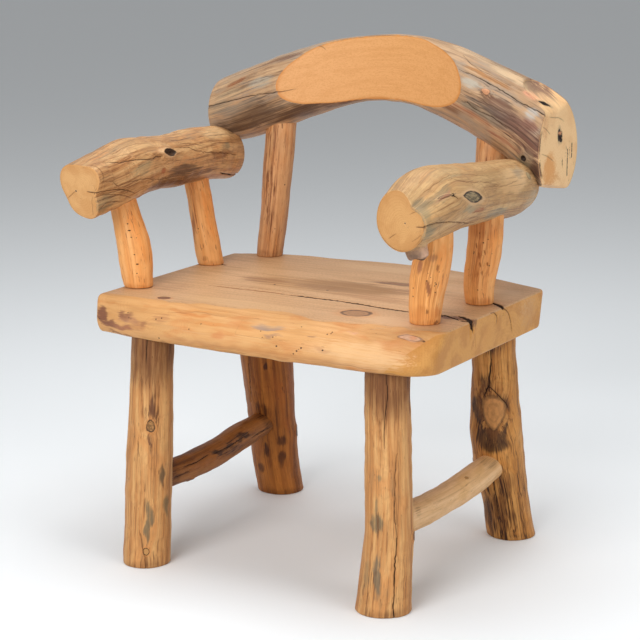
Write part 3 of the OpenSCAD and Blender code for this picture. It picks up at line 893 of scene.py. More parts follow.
# Painted shade in part: the back left leg's colours are made darker for the shade it stands in under the seat.
BACK_LEG = dict(LEG, light="b87230", mid="8e501e", dark="2e1406", warm="a45a20", grey_by=0.0, lines=0.3,
                shift=5.1)
STREAKED_LEG = dict(LEG, light="d69a54", mid="b27436", dark="3c200e", warm="bd7830", lines=0.65,
                    knot_pale="c48a50", halo="9a5e30", shift=12.6)
STRETCHER = dict(LEG, light="a86c34", mid="834e22", dark="32180c", warm="96561e", shift=3.9)
PALE_STRETCHER = dict(LEG, light="f0c696", mid="e2b480", dark="a87e4e", warm="dcaa6c", fleck_by=0.4,
                      grey_by=0.1, fibre=0.2, lines=0.2, shift=6.2)
POST = dict(light="f4b470", mid="eaa25c", dark="a85e2c", warm="ea9040", warm_by=0.65, grey="b08a64",
            grey_by=0.1, grey_most=0.4, fleck="8a4a2a", fleck_by=0.6, fleck_from=0.76, planed="eab57a",
            planed_dark="c98b50", end="e0ab70", end_dark="b3783f", fibre=0.13, lines=0.14, contour=0.08,
            knot="8a4a26", gloss=0.3, shift=2.7)
BACK_POST = dict(POST, light="d6a270", mid="c0885a", dark="7a4a2a", warm="cc8a50", lines=0.4, shift=8.4)
ARM = dict(light="cea774", mid="b88c5c", dark="6a4325", warm="c98c50", warm_by=0.55, grey="9c8e70",
           grey_by=0.5, grey_most=0.5, fleck="5b3a22", fleck_by=0.4, planed="e2b47c", planed_dark="c08c52",
           end="ce9c62", end_dark="b27a42", end_ring=0.22, end_mm=50.0, fibre=0.28, lines=0.42,
           contour=0.16, halo="d8ae80", halo_by=0.75, knot="6e4a30", knot_pale="a8926c", gloss=0.3,
           shift=4.4)
LEFT_ARM = dict(ARM, light="d4a874", mid="ba8654", dark="5a3018", warm="be7840", warm_by=0.65, lines=0.5,
                end="dcaa70", end_dark="c08448", shift=14.9)
RAIL_LOOK = dict(light="c4a07a", mid="a47f5c", dark="553a2a", warm="b07c50", warm_by=0.5, grey="9f9484",
                 grey_by=0.7, grey_most=0.6, fleck="553724", fleck_by=0.4, planed="d89e64",
                 planed_dark="c08444", planed_ring=0.05, planed_streak=0.25, band=0.75, end="f4cc98",
                 end_dark="deac78", end_ring=0.16, fibre=0.3, lines=0.5, contour=0.08, halo="9a8266",
                 knot="6e4a30", knot_pale="d0956c", gloss=0.3, shift=7.6)
SEAT = dict(light="d9a46a", mid="cf985e", dark="9c6438", warm="c97e42", warm_by=0.5, grey_by=0.0,
            fleck="6a4028", fleck_by=0.5, fleck_from=0.86, planed="d4a87c", planed_dark="a2784e",
            planed_ring=0.08, hair=0.15, nap=0.5, end="d69c54", end_dark="b06f30", end_ring=0.12,
            fibre=0.08, lines=0.08, lines_planed=0.5, contour=0.1, knot="86542e", knot_pale="b0825a",
            halo_by=0.3, ring_mm=5.0, stain_and_shade_planed=True, blend=2.5, gloss=0.3, shift=9.3)

leg_wood = wood("leg_wood", **LEG)
back_leg_wood = wood("back_leg_wood", **BACK_LEG)
streaked_leg_wood = wood("streaked_leg_wood", **STREAKED_LEG)
post_wood = wood("post_wood", **POST)
back_post_wood = wood("back_post_wood", **BACK_POST)


# Legs and stretchers

LEG_FEET = [[-213, -214], [218, -210], [-227, 225], [235, 206]]
LEG_HEADS = [[-210, -189], [208, -185], [-213, 137], [228, 132]]
LEG_RADII = [[37.3, 37.1, 37.2, 37, 35.6, 34.3, 33.4], [42.4, 39, 36.6, 36.3, 35.3, 34.4, 33.6],
             [40.6, 40.8, 41.4, 43.5, 45, 44.6, 43], [40.5, 39.3, 42, 43.5, 38.5, 35.6, 35.5]]
LEG_SWAY = [[0, 0.3, 0, 0, 0.6, 0, 0], [-1, 2.5, 5.5, 5, 3, 1, 0], [0, -4, -3, -2, -1.5, -1, 0],
            [0, -4, -9, -10, -6, -3, 0]]


def upright(foot, head, radii, sway, seed):
    """A log from its foot to its head, pushed sideways by the sway at each station."""
    last = len(radii) - 1
    path = [foot + (head - foot) * k / last + np.array([sway[k], 0, 0]) for k in range(last + 1)]
    return Log(path, radii, EAST, seed, level=True)


def leg(i):
    foot, head = np.array([*LEG_FEET[i], 0.0]), np.array([*LEG_HEADS[i], SEAT_UNDER])
    return upright(foot, head, LEG_RADII[i], LEG_SWAY[i], 50 * i)


legs = [leg(i) for i in range(4)]
STRETCHER_INSET = 26


def stretcher(front, back, middle_z, bow, radii, seed):
    """A log between two legs. Its bow pushes it sideways and up at each of its five stations."""

    def leg_at(log, z):
        p = along(log.path, np.asarray(log.last * z / SEAT_UNDER))
        return np.array([p[0], p[1], z])

    a, b = leg_at(front, middle_z + bow[0][1]), leg_at(back, middle_z + bow[4][1])
    run = unit(b - a)
    start, finish = a + run * STRETCHER_INSET, b - run * STRETCHER_INSET
    path = [start + (finish - start) * k / 4
            + np.array([bow[k][0], 0, 0 if k in (0, 4) else bow[k][1] - bow[4][1] * k / 4]) for k in range(5)]
    return Log(path, radii, EAST, seed)


STRETCHER_LEFT = stretcher(legs[0], legs[2], 130, [[0, 0], [2, -3], [3, -2], [0, 4], [0, 9]],
                           [21, 22, 23.5, 23, 20], 20)
STRETCHER_RIGHT = stretcher(legs[1], legs[3], 128, [[0, 0], [-2, -7], [-3, -9], [0, -4], [0, 3]],
                            [23, 23.5, 23, 23.5, 22], 140)


# Posts

POST_FEET = [[-276, -132], [-278, 83], [243, -136], [254, 28], [-231, 197], [178, 190]]
POST_HEADS = [[-305, -132], [-306, 83], [258, -136], [262, 28], [-207, 200], [190, 202]]
POST_TOPS = [ARM_Z + 2 - 49, ARM_Z + 1 - 43, ARM_Z - 51, ARM_Z - 9 - 45, RAIL_Z - 50 - 58, RAIL_Z - 56 - 60]
POST_RADII = [[23, 27, 27.5, 24, 22], [22, 22, 21.5, 21.5, 21.5], [23, 26, 29, 27.5, 25.5],
              [22, 24.5, 26.5, 27, 26.5], [22.5, 23.5, 25, 25.5, 25], [23.5, 25, 27, 28, 28]]
POST_SWAY = [[0, 3.5, 5.5, 3, 0], [0, 0.5, -0.5, 0.5, 0], [0, -2, -1, 2, 0], [0, -3, 0, 1.5, 0],
             [0, 1.5, 1, 0.5, 0], [0, 1, 2, 1, 0]]
POST_RUN_IN = 15


def post(i):
    foot = np.array([*POST_FEET[i], SEAT_TOP])
    head = np.array([*POST_HEADS[i], POST_TOPS[i]])
    return upright(foot, head + POST_RUN_IN * unit(head - foot), POST_RADII[i], POST_SWAY[i], 30 + 70 * i)


posts = [post(i) for i in range(6)]


# Arms and rail, with their forms, saw cuts and the rail's hollow

ARM_LEFT = Log([[x, y, z + ARM_Z] for x, y, z in
                [[-304, -275, -22], [-305, -235, -16], [-305, -180, -8], [-305, -125, 2], [-305, -65, 3],
                 [-306, 10, 0], [-308, 95, 0], [-312, 176, -8]]],
               [40, 43, 48, 49.5, 45, 43.5, 44.5, 45], EAST, 10,
               forms=[(0.7, 320, 0.9, 26, 15), (0.7, 5, 0.8, 22, -9), (0.7, 155, 0.9, 30, -8),
                      (0.7, 225, 0.9, 30, 5), (0.7, 60, 0.7, 26, 4.5)])
ARM_RIGHT = Log([[x, y, z + ARM_Z] for x, y, z in
                 [[258, -275, -19], [260, -235, -12], [261, -170, 0], [261, -100, -1], [260, -20, -6],
                  [257, 50, -11], [250, 115, -17], [239, 176, -22]]],
                [40.5, 44.5, 53.5, 49, 45.5, 45.5, 46, 42], EAST, 95, forms=[(0.75, 308, 0.9, 38, -19)])
RAIL = Log([[x, y, z + RAIL_Z] for x, y, z in
            [[-350, 206, -98], [-290, 205, -80], [-230, 203, -58], [-160, 199, -33], [-90, 194, -12],
             [-20, 190, 0], [50, 190, 1], [110, 194, -13], [165, 199, -35], [215, 204, -59],
             [263, 208, -85], [325, 212, -131]]],
           [50, 56, 58, 57, 55.5, 54, 56, 58, 59.5, 61.5, 63.5, 66.5], (0, 1, 0), 200,
           forms=[(9.75, 98, 0.5, 24, 7)])
ARM_LEFT_CUT = [((-305, -243, ARM_Z - 17), (-0.17, -0.97, -0.17))]
ARM_RIGHT_CUT = [((260, -242, ARM_Z - 1), (-0.1, -0.99, 0.1))]
RAIL_LEFT_CUT = [((-328, 205, RAIL_Z - 90), (-1, 0, 0))]
RAIL_END, RAIL_BEVEL = (0.996, -0.087, 0), (0.60, -0.20, 0.77)
RAIL_RIGHT_CUTS = [((300, 205, RAIL_Z - 110), RAIL_END), ((251, 174, RAIL_Z - 18), RAIL_BEVEL),
                   ((300, 156, RAIL_Z - 163), (0.1, -0.2, -1))]
BEVEL_RUN = (0.3, 0.6, -0.5)
HOLLOW_R = 520.0
HOLLOW_DEPTH = 35.0
HOLLOW_LEAN = math.radians(9)


def hollow():
    """The round cylinder that hollows the rail: a point of its axis, the axis and its radius."""
    middle = along(RAIL.path, np.asarray(5.5))
    centre = np.array([-20, middle[1] - 54 + HOLLOW_DEPTH - HOLLOW_R, middle[2]])
    return centre, np.array([0, math.sin(HOLLOW_LEAN), math.cos(HOLLOW_LEAN)]), HOLLOW_R


# Seat slab

TOP_FRONT = [-214, -213, -192, -191, -204, -179, -203]
BELLY_FRONT = [-218, -233, -241, -244, -243, -242, -234]
UNDER_FRONT = [-211, -226, -233, -237, -236, -235, -222]
BACK_EDGE = [187, 225, 236, 249, 242, 214, 176]
FRONT_HEIGHTS = np.array([0, 0.30, 0.62, 0.88, 1])
FRONT_MIX = [0, 0, 0.18, 0.58, 1]
SEAT_HALF = 300.0
SEAT_THICK = SEAT_TOP - SEAT_UNDER
CORNER = 42.0
TOP_CORNER = 0.6
END_LEAN = 6.0
BACK_CORNERS = (12, 14)
END_PULL = (7.0, 3.0)
LEAN_REACH = 80.0
EDGE_ROUND = 7.0
BACK_COLUMNS = 20
TOP_COLUMNS = 200
FRONT_COLUMNS = 34
SOFT_COLUMNS = 5
SOFT_ROUNDS = 16
SEAT_SEED = 5
SEAT_UNEVEN = 3
FRONT_WAVE, TOP_WAVE, UNDER_WAVE = 0.9, 0.25, 0.2
TOP_WAVE_MOST = 0.1
BARK_BEHIND, BARK_SWAY = 9, 5
SAWN_FROM, SAWN_LEAN = 222, 71
PITH_Y, PITH_Z = 30, 300
SEAT_CAP_RINGS = 18
NEAR_END = np.array([0, 0.3, 1.0, 2.2, 4.0, 6.5])
NEAR_CORNER = np.array([9, 12, 15.5, 19.5, 24, 29])
MIDDLE_ROWS = 249


def slab_front(x, h):
    """The slab's front at x and at a share h of its thickness."""
    k = 6 * (x + SEAT_HALF) / (2 * SEAT_HALF)
    under, belly, top = along(UNDER_FRONT, k), along(BELLY_FRONT, k), along(TOP_FRONT, k)
    corner = worn(SEAT_HALF - x, CORNER)
    ys = np.array([(under if j == 0 else belly + (top - belly) * FRONT_MIX[j])
                   + corner * (TOP_CORNER if j == 4 else 1) for j in range(5)])
    j = np.clip(np.searchsorted(FRONT_HEIGHTS, h, side="right") - 1, 0, 3)
    t = (h - FRONT_HEIGHTS[j]) / (FRONT_HEIGHTS[j + 1] - FRONT_HEIGHTS[j])

    def at(i):
        return np.take_along_axis(ys, np.clip(i, 0, 4)[None], 0)[0]

    b, c = at(j), at(j + 1)
    return bend(np.where(j > 0, at(j - 1), 2 * b - c), b, c, np.where(j < 3, at(j + 2), 2 * c - b), t)


def slab_back(x):
    k = 6 * (x + SEAT_HALF) / (2 * SEAT_HALF)
    left, right = BACK_CORNERS
    return along(BACK_EDGE, k) - worn(SEAT_HALF - x, right) - worn(x + SEAT_HALF, left)


def slab_ring_rows(x):
    """Rings round the slab at each x: up the back, over the top, down the front and back below."""
    pull = worn(x + SEAT_HALF, END_PULL[0]) + worn(SEAT_HALF - x, END_PULL[1])
    low, high = SEAT_UNDER + pull, SEAT_TOP - pull
    back = slab_back(x) - pull
    inner = back - EDGE_ROUND
    columns, kinds = [], []

    def column(y, z, kind):
        h = np.clip((z - SEAT_UNDER) / SEAT_THICK, 0, 1)
        lean = END_LEAN * (1 - h) * np.maximum(0, 1 - (SEAT_HALF - x) / LEAN_REACH)
        columns.append(np.stack([x - lean, y, z], -1))
        kinds.append(kind)

    def front(h):
        return slab_front(x, np.full(x.shape, h)) + pull

    for a in np.radians(np.linspace(-90, 0, 5)):
        column(inner + EDGE_ROUND * np.cos(a), low + EDGE_ROUND + EDGE_ROUND * np.sin(a), "back")
    for t in np.linspace(0, 1, BACK_COLUMNS)[1:-1]:
        column(back, low + EDGE_ROUND + (high - low - 2 * EDGE_ROUND) * t, "back")
    for a in np.radians(np.linspace(0, 90, 5)):
        column(inner + EDGE_ROUND * np.cos(a), high - EDGE_ROUND + EDGE_ROUND * np.sin(a), "back")
    for t in np.linspace(0, 1, TOP_COLUMNS + 1)[1:-1]:
        column(inner + (front(1.0) - inner) * t, high, "top")
    for h in np.linspace(1, 0, FRONT_COLUMNS):
        column(front(h), low + h * (high - low), "front")
    for t in np.linspace(1, 0, TOP_COLUMNS + 1)[1:-1]:
        column(inner + (front(0.0) - inner) * t, low, "under")
    return np.stack(columns, 1), np.array(kinds)


def softened(p, kinds):
    """The rings with their two front edges worn round."""
    for _ in range(SOFT_ROUNDS):
        even = 0.5 * p + 0.25 * (np.roll(p, 1, 1) + np.roll(p, -1, 1))
        for edge in np.where(kinds == "front")[0][[0, -1]]:
            at = np.arange(edge - SOFT_COLUMNS, edge + SOFT_COLUMNS + 1)
            p[:, at, 1:] = even[:, at, 1:]
    return p


def slab_rings(p):
    """Which growth ring each point of the slab lies in, as a distance from the pith below it."""
    sway = Waves(77, longest=500.0, shortest=120.0, round_most=0)(p[:, 0], np.zeros(len(p)))
    return np.hypot(p[:, 1] - (PITH_Y + 12 * sway), (p[:, 2] - PITH_Z) * 0.9)


def seat_skin(x, marks):
    """The slab's points and fields all round, without its ends."""
    base, kinds = slab_ring_rows(x)
    base = softened(base, kinds)
    rows, cols = base.shape[:2]
    top, front, under = [np.broadcast_to(kinds == kind, (rows, cols)) for kind in ("top", "front", "under")]
    normal = unit(np.cross(np.roll(base, -1, 1) - np.roll(base, 1, 1), np.gradient(base, axis=0)))
    turn = np.linspace(0, 2 * math.pi, cols, endpoint=False)
    along_it, round_it = np.broadcast_arrays(x[:, None], turn[None])
    wave = Waves(SEAT_SEED, longest=320.0, shortest=40.0, round_most=16)(along_it, round_it)
    from_end = np.minimum(x + SEAT_HALF, SEAT_HALF - x)[:, None]
    high = np.where(front, FRONT_WAVE, np.where(top, TOP_WAVE, UNDER_WAVE))
    lift = wave * high * smooth(0, 20, from_end)
    lift = np.where(top, np.minimum(lift, TOP_WAVE_MOST), lift)
    flat, outs = base.reshape(-1, 3), normal.reshape(-1, 3)
    fields, raised, _, aside = marked(flat, outs, marks["knots"], marks["cracks"])
    side, half, depth = fields["crack_at"].T
    lift = lift.reshape(-1) + raised - groove(side, half, depth, np.maximum(half, 0.5))
    fields.update(toned(flat, SEAT_UNEVEN, marks["stains_and_painted_light"], marks["wear_and_shade"]))
    edge_y = base[:, [np.where(kinds == "front")[0][0]], 1]
    behind = np.clip(base[..., 1] - edge_y - BARK_BEHIND + BARK_SWAY * wave, CUT_NONE, CUT_MOST)
    cut = np.where(top, behind, np.where(under, CUT_MOST, CUT_NONE))
    sawn_from = SAWN_FROM + SAWN_LEAN * (base[..., 2] - SEAT_UNDER) / SEAT_THICK
    sawn = np.where(front, base[..., 0] - sawn_from, -from_end)
    sawn[[0, -1]] = 1.0
    cut[[0, -1]] = CUT_END
    ring = slab_rings(flat) + np.where(front.reshape(-1), 6 * wave.reshape(-1) + 1.5 * raised, 0)
    fields["grain_at"] = np.stack([flat[:, 1] + aside, flat[:, 2], flat[:, 0]], 1)
    fields["marks"] = np.stack([cut.reshape(-1), ring, sawn.reshape(-1)], 1)
    return flat + lift[:, None] * outs, fields, rows, cols


def seat_cap(rim, far, marks):
    """An end face's points and fields: rings that shrink to the middle of its thickness."""
    core = rim.copy()
    core[:, 1] = np.clip(rim[:, 1], rim[:, 1].min() + SEAT_THICK / 2, rim[:, 1].max() - SEAT_THICK / 2)
    core[:, 2] = SEAT_UNDER + SEAT_THICK / 2
    core[:, 0] = SEAT_HALF - END_LEAN / 2 if far else rim[:, 0].mean()
    shares = np.linspace(1, 0, SEAT_CAP_RINGS + 1)[1:]
    cap = (core + shares[:, None, None] * (rim - core)).reshape(-1, 3)
    way = 1.0 if far else -1.0
    fields, _, sunk, _ = marked(cap, np.tile([way, 0, 0], (len(cap), 1)), marks["knots"], marks["cracks"])
    fields.update(toned(cap, SEAT_UNEVEN, marks["stains_and_painted_light"], marks["wear_and_shade"]))
    full = np.full(len(cap), CUT_END)
    fields["grain_at"] = np.stack([cap[:, 1], cap[:, 2], cap[:, 0]], 1)
    fields["marks"] = np.stack([full, slab_rings(cap), full], 1)
    cap[:, 0] -= way * sunk
    return cap, fields


def seat_piece(node, material, slot, marks):
    """The slab's own mesh: planed top, bark belly along the front, and two sawn ends."""
    middle = np.linspace(NEAR_END[-1], 2 * SEAT_HALF - 31, MIDDLE_ROWS + 1)[1:]
    x = np.concatenate([NEAR_END, middle, 2 * SEAT_HALF - NEAR_CORNER[::-1], 2 * SEAT_HALF - NEAR_END[::-1]])
    points, fields, rows, cols = seat_skin(x - SEAT_HALF, marks)
    parts = Parts(points, fields, rows, cols)
    for far, rim in ((False, points[:cols]), (True, points[-cols:])):
        cap, cap_fields = seat_cap(rim, far, marks)
        parts.add_cap(far, cap, cap_fields, SEAT_CAP_RINGS)
    weld(parts.piece(node, material, slot))


def weld(piece):
    """Joins the two halves of each end face along their middle line."""
    mesh = bmesh.new()
    mesh.from_mesh(piece.data)
    bmesh.ops.remove_doubles(mesh, verts=mesh.verts, dist=1e-7)
    mesh.to_mesh(piece.data)
    mesh.free()


# Marks read from the photograph. A row starts with the mark's place, which is (station, degrees) on a log,
# and its half length and half width. A knot's look follows, or a stain's colour and strength, or the holes,
# lines and shade of a wear and shade row, whose shade is in many places painted shade. A crack is its spots,
# half width, depth, seed, open ends and sway.

LEG_MARKS = [
    dict(knots=[(3.8, 304, 10, 6, dict(tone=0.8, swell=2.5, rim=1.0, deep=1.0, mottle=0.5, taper=-0.3)),
                (0.47, 302, 6, 5, dict(tone=0.9, swell=0.8, rim=0.5, dark=0.95)),
                (4.4, 140, 9, 7, dict(tone=0.5, swell=2.0, rim=0.8))],
         cracks=[([(6, 289), (5.54, 288), (5.36, 288)], 0.5, 1.5, 1, "start"),
                 ([(3.39, 272), (3.19, 274), (2.94, 276)], 0.3, 1.0, 2),
                 ([(1.06, 284), (0.78, 290), (0.4, 297), (0, 303)], 0.3, 0.8, 3, "finish"),
                 ([(5.2, 90), (4.1, 96), (2.6, 92), (1.4, 97)], 0.6, 2.0, 4)],
         stains_and_painted_light=[(4.3, 306, 28, 6, "5a3428", 0.95), (3.42, 304, 15, 4.5, "6a4430", 0.8),
                 (2.47, 337, 27, 6, "5c4a36", 0.95), (1.28, 306, 46, 7.5, "6a5f48", 1.0),
                 (1.63, 354, 24, 8, "786648", 0.8), (0.2, 320, 14, 30, "8a5a34", 0.5),
                 # Painted shade under the seat: this stain and the first wear and shade row below darken the
                 # top of the leg.
                 (5.9, 300, 60, 60, "9c5c28", 0.6)],
         wear_and_shade=[(5.8, 300, 75, 60, 0, 0.4, 0.85), (4.2, 306, 40, 12, 0, 0.5, 0.2),
               (0.0, 300, 12, 60, 0, 0.2, 0.35)]),
    dict(knots=[(1.9, 20, 7, 6, dict(tone=0.6, swell=1.2, rim=0.6, dark=0.5)),
                (3.6, 160, 10, 8, dict(tone=0.4, swell=2.5, rim=1.0))],
         cracks=[([(6, 294), (5.44, 298), (4.91, 291), (4.52, 289), (4.15, 288)], 0.4, 1.5, 1, "start"),
                 ([(4.05, 319), (3.52, 313), (2.99, 312), (2.45, 312), (1.98, 320)], 0.35, 1.5, 5),
                 ([(1.98, 320), (1.31, 316), (0.71, 317), (0, 320)], 0.65, 3.0, 15, "start finish", 0.5),
                 ([(4.6, 80), (3.3, 86), (1.8, 84), (0, 88)], 0.6, 2.5, 6, "finish")],
         stains_and_painted_light=[(2.33, 270, 19, 14, "766a50", 1.0), (1.02, 278, 44, 8, "6f6450", 1.0),
                 (2.75, 266, 16, 6, "8a7756", 0.8), (3.43, 280, 10, 5, "8a7756", 0.8),
                 (1.03, 250, 38, 8, "8a7756", 0.7), (5.17, 15, 30, 6, "6e4527", 0.8),
                 # Painted shade under the seat: this stain and the first wear and shade row below darken the
                 # top of the leg.
                 (5.9, 300, 60, 60, "9c5c28", 0.6)],
         wear_and_shade=[(5.85, 300, 70, 60, 0, 0.4, 0.85), (2.3, 268, 26, 10, 0, 0.6, 0.1),
               (0.0, 300, 14, 60, 0, 0.3, 0.4), (1.0, 250, 60, 20, 0, 0.3, 0.1)]),
    dict(knots=[(1.9, 20, 9, 8, dict(tone=0.4, swell=2.0, rim=0.8))],
         cracks=[([(6, 262), (4.18, 261), (3.62, 258), (2.92, 252)], 0.35, 1.5, 1, "start"),
                 ([(5, 70), (3.4, 78), (1.5, 74)], 0.6, 2.0, 7)],
         stains_and_painted_light=[(1.74, 321, 15, 11, "3c1a0c", 0.95), (1.18, 318, 19, 11, "3c1a0c", 0.95),
                 (1.45, 280, 17, 8, "3c1a0c", 0.9), (0.81, 258, 16, 10, "431f0f", 0.9),
                 (2.71, 279, 22, 16, "482311", 0.8), (4.08, 300, 10, 6, "3c1a0c", 0.8),
                 (0.5, 310, 40, 30, "a86428", 0.6)],
         # Painted shade under the seat: the first wear and shade row darkens the top of the leg.
         wear_and_shade=[(5.9, 290, 60, 70, 0, 0.2, 0.45), (2.0, 300, 60, 30, 0, 0.3, 0.25),
               (0.0, 300, 12, 70, 0, 0.2, 0.4)]),
    dict(knots=[(3.76, 291, 31, 17, dict(tone=1.0, swell=7.0, spread=1.4, dark=0.45,
                 mottle=0.15, taper=0.35)), (2.0, 200, 9, 8, dict(tone=0.4, swell=2.0, rim=0.8))],
         cracks=[([(6, 288), (5.3, 288), (5.07, 288)], 0.6, 1.8, 1, "start"),
                 ([(5.25, 290), (4.87, 284), (4.5, 280), (4.16, 268)], 1.0, 1.8, 18),
                 ([(4.51, 280), (4.29, 300), (4.0, 319), (3.8, 326)], 0.5, 1.2, 8),
                 ([(2.3, 280), (1.5, 276), (0.7, 272)], 0.6, 1.5, 9),
                 ([(2.0, 300), (1.2, 302), (0.4, 300)], 0.4, 1.2, 19),
                 ([(4.5, 80), (3.0, 84), (1.2, 80)], 0.6, 2.0, 10)],
         stains_and_painted_light=[(3.83, 254, 34, 14, "2c180c", 1.0), (2.95, 284, 28, 30, "3a2212", 1.2),
                 (3.2, 318, 26, 7, "3a2212", 0.9), (4.5, 268, 30, 11, "4a2c18", 0.9),
                 (0.63, 240, 56, 22, "6a4322", 0.9), (0.9, 285, 70, 24, "74461f", 0.9),
                 (4.0, 322, 26, 8, "3a2212", 0.9), (3.09, 342, 60, 14, "d2944e", 0.8),
                 (1.9, 300, 30, 26, "7a4a24", 0.7), (5.6, 290, 30, 30, "7c4e2a", 0.7)],
         # Painted shade under the seat: the first wear and shade row darkens the top of the leg.
         wear_and_shade=[(5.8, 290, 40, 40, 0, 0.3, 0.25), (3.6, 275, 70, 30, 0, 0.6, 0.3),
               (1.0, 285, 90, 40, 0, 0.55, 0.15), (0.0, 300, 12, 60, 0, 0.2, 0.3)])]

STRETCHER_LEFT_MARKS = dict(
    knots=[(0.9, 60, 6, 5, dict(tone=0.4, swell=1.2, rim=0.6))],
    cracks=[([(0.54, 331), (0.96, 333), (1.43, 324)], 0.5, 1.5),
            ([(3.02, 0), (3.33, 359), (3.67, 4)], 0.4, 1.5, 2),
            ([(0.17, 2), (0.69, 357)], 0.4, 1.2, 3), ([(1.5, 330), (2.2, 334), (2.9, 336)], 0.4, 1.5, 4)],
    stains_and_painted_light=[(1.72, 332, 22, 7, "2c160a", 0.95), (2.17, 331, 24, 7, "2c160a", 0.95),
            (2.68, 338, 26, 7, "2c160a", 0.95)],
    wear_and_shade=[(2.2, 334, 60, 14, 0, 0.6, 0.2), (0.2, 330, 20, 30, 0, 0.2, 0.4), (3.8, 330, 20, 30, 0, 0.2, 0.4)])
STRETCHER_RIGHT_MARKS = dict(
    knots=[(2.6, 300, 4, 3, dict(tone=0.9, swell=0.8, rim=0.4, dark=0.4))],
    cracks=[([(1.0, 322), (2.2, 326), (3.0, 320)], 0.1, 0.3)],
    stains_and_painted_light=[(3.6, 300, 30, 14, "a8845a", 0.5), (0.4, 330, 14, 16, "8a6238", 0.5)])

DASHES = [[(2.74, 265), (2.5, 270)], [(2.36, 276), (2.1, 281)], [(1.93, 286), (1.7, 291)],
          [(1.54, 298), (1.35, 301)], [(2.46, 294), (2.25, 300)], [(1.93, 310), (1.75, 314)]]
# Painted shade: the first row darkens each post's foot where it meets the seat.
POST_WEAR_AND_SHADE = [(0.05, 300, 7, 60, 0, 0.2, 0.3), (2.0, 120, 60, 60, 0.05, 0, 0)]
POST_MARKS = [
    dict(knots=[(2.48, 304, 1.0, 2.2, BLACK), (1.07, 311, 1.0, 2.2, BLACK)],
         cracks=[([(2.7, 290), (2.09, 288), (1.17, 290), (0.26, 290)], 0.1, 0.3)],
         wear_and_shade=[(1.6, 300, 60, 16, 0.08, 0.1, 0)]),
    dict(cracks=[([(0.99, 284), (0.73, 282)], 0.35, 0.9)],
         stains_and_painted_light=[(1.73, 250, 40, 7, "9a5b32", 0.85), (0.38, 283, 7, 9, "a5693a", 0.6)],
         wear_and_shade=[(1.2, 280, 50, 16, 0.1, 0.1, 0), (2.4, 260, 60, 12, 0.05, 0.5, 0.2)]),
    dict(stains_and_painted_light=[(1.69, 290, 9, 3.6, "6e3428", 4.0), (1.5, 291, 7, 2.0, "7a3c28", 2.5),
                 (2.32, 320, 5, 2.4, "8a5028", 2.5), (0.57, 302, 3.4, 2.0, "4e2412", 4.0),
                 (2.82, 295, 9, 8, "a87050", 1.0), (2.46, 254, 12, 6, "96584a", 1.0),
                 (0.51, 346, 14, 9, "c8702c", 0.8), (0.08, 340, 2.4, 5, "5a3020", 2.5),
                 (0.45, 285, 14, 24, "d48848", 0.6), (1.6, 290, 90, 30, "cc8a48", 0.55)],
         wear_and_shade=[(1.7, 300, 30, 9, 0.5, 0.2, 0), (1.3, 290, 60, 40, 0.08, 0.2, 0)]),
    dict(cracks=[(dash, 0.6, 0.95, j, "", 0.1) for j, dash in enumerate(DASHES)],
         stains_and_painted_light=[(2.0, 270, 60, 14, "b46c38", 0.35), (0.2, 300, 10, 30, "a8602c", 0.5)],
         wear_and_shade=[(1.9, 290, 60, 26, 0.1, 0.4, 0.1), (3.4, 300, 20, 50, 0, 0.3, 0.4)]),
    dict(cracks=[([(4.0, 297), (3.72, 304)], 0.5, 1.2, 1, "start")],
         stains_and_painted_light=[(2.2, 240, 50, 9, "a06c44", 0.6)],
         wear_and_shade=[(2.0, 268, 90, 12, 0.12, 0.9, 0.15), (3.4, 270, 40, 20, 0, 0.5, 0.2)]),
    dict(stains_and_painted_light=[(2.8, 270, 50, 14, "8a5a38", 0.6)],
         wear_and_shade=[(2.0, 268, 90, 12, 0.12, 0.9, 0.15)])]

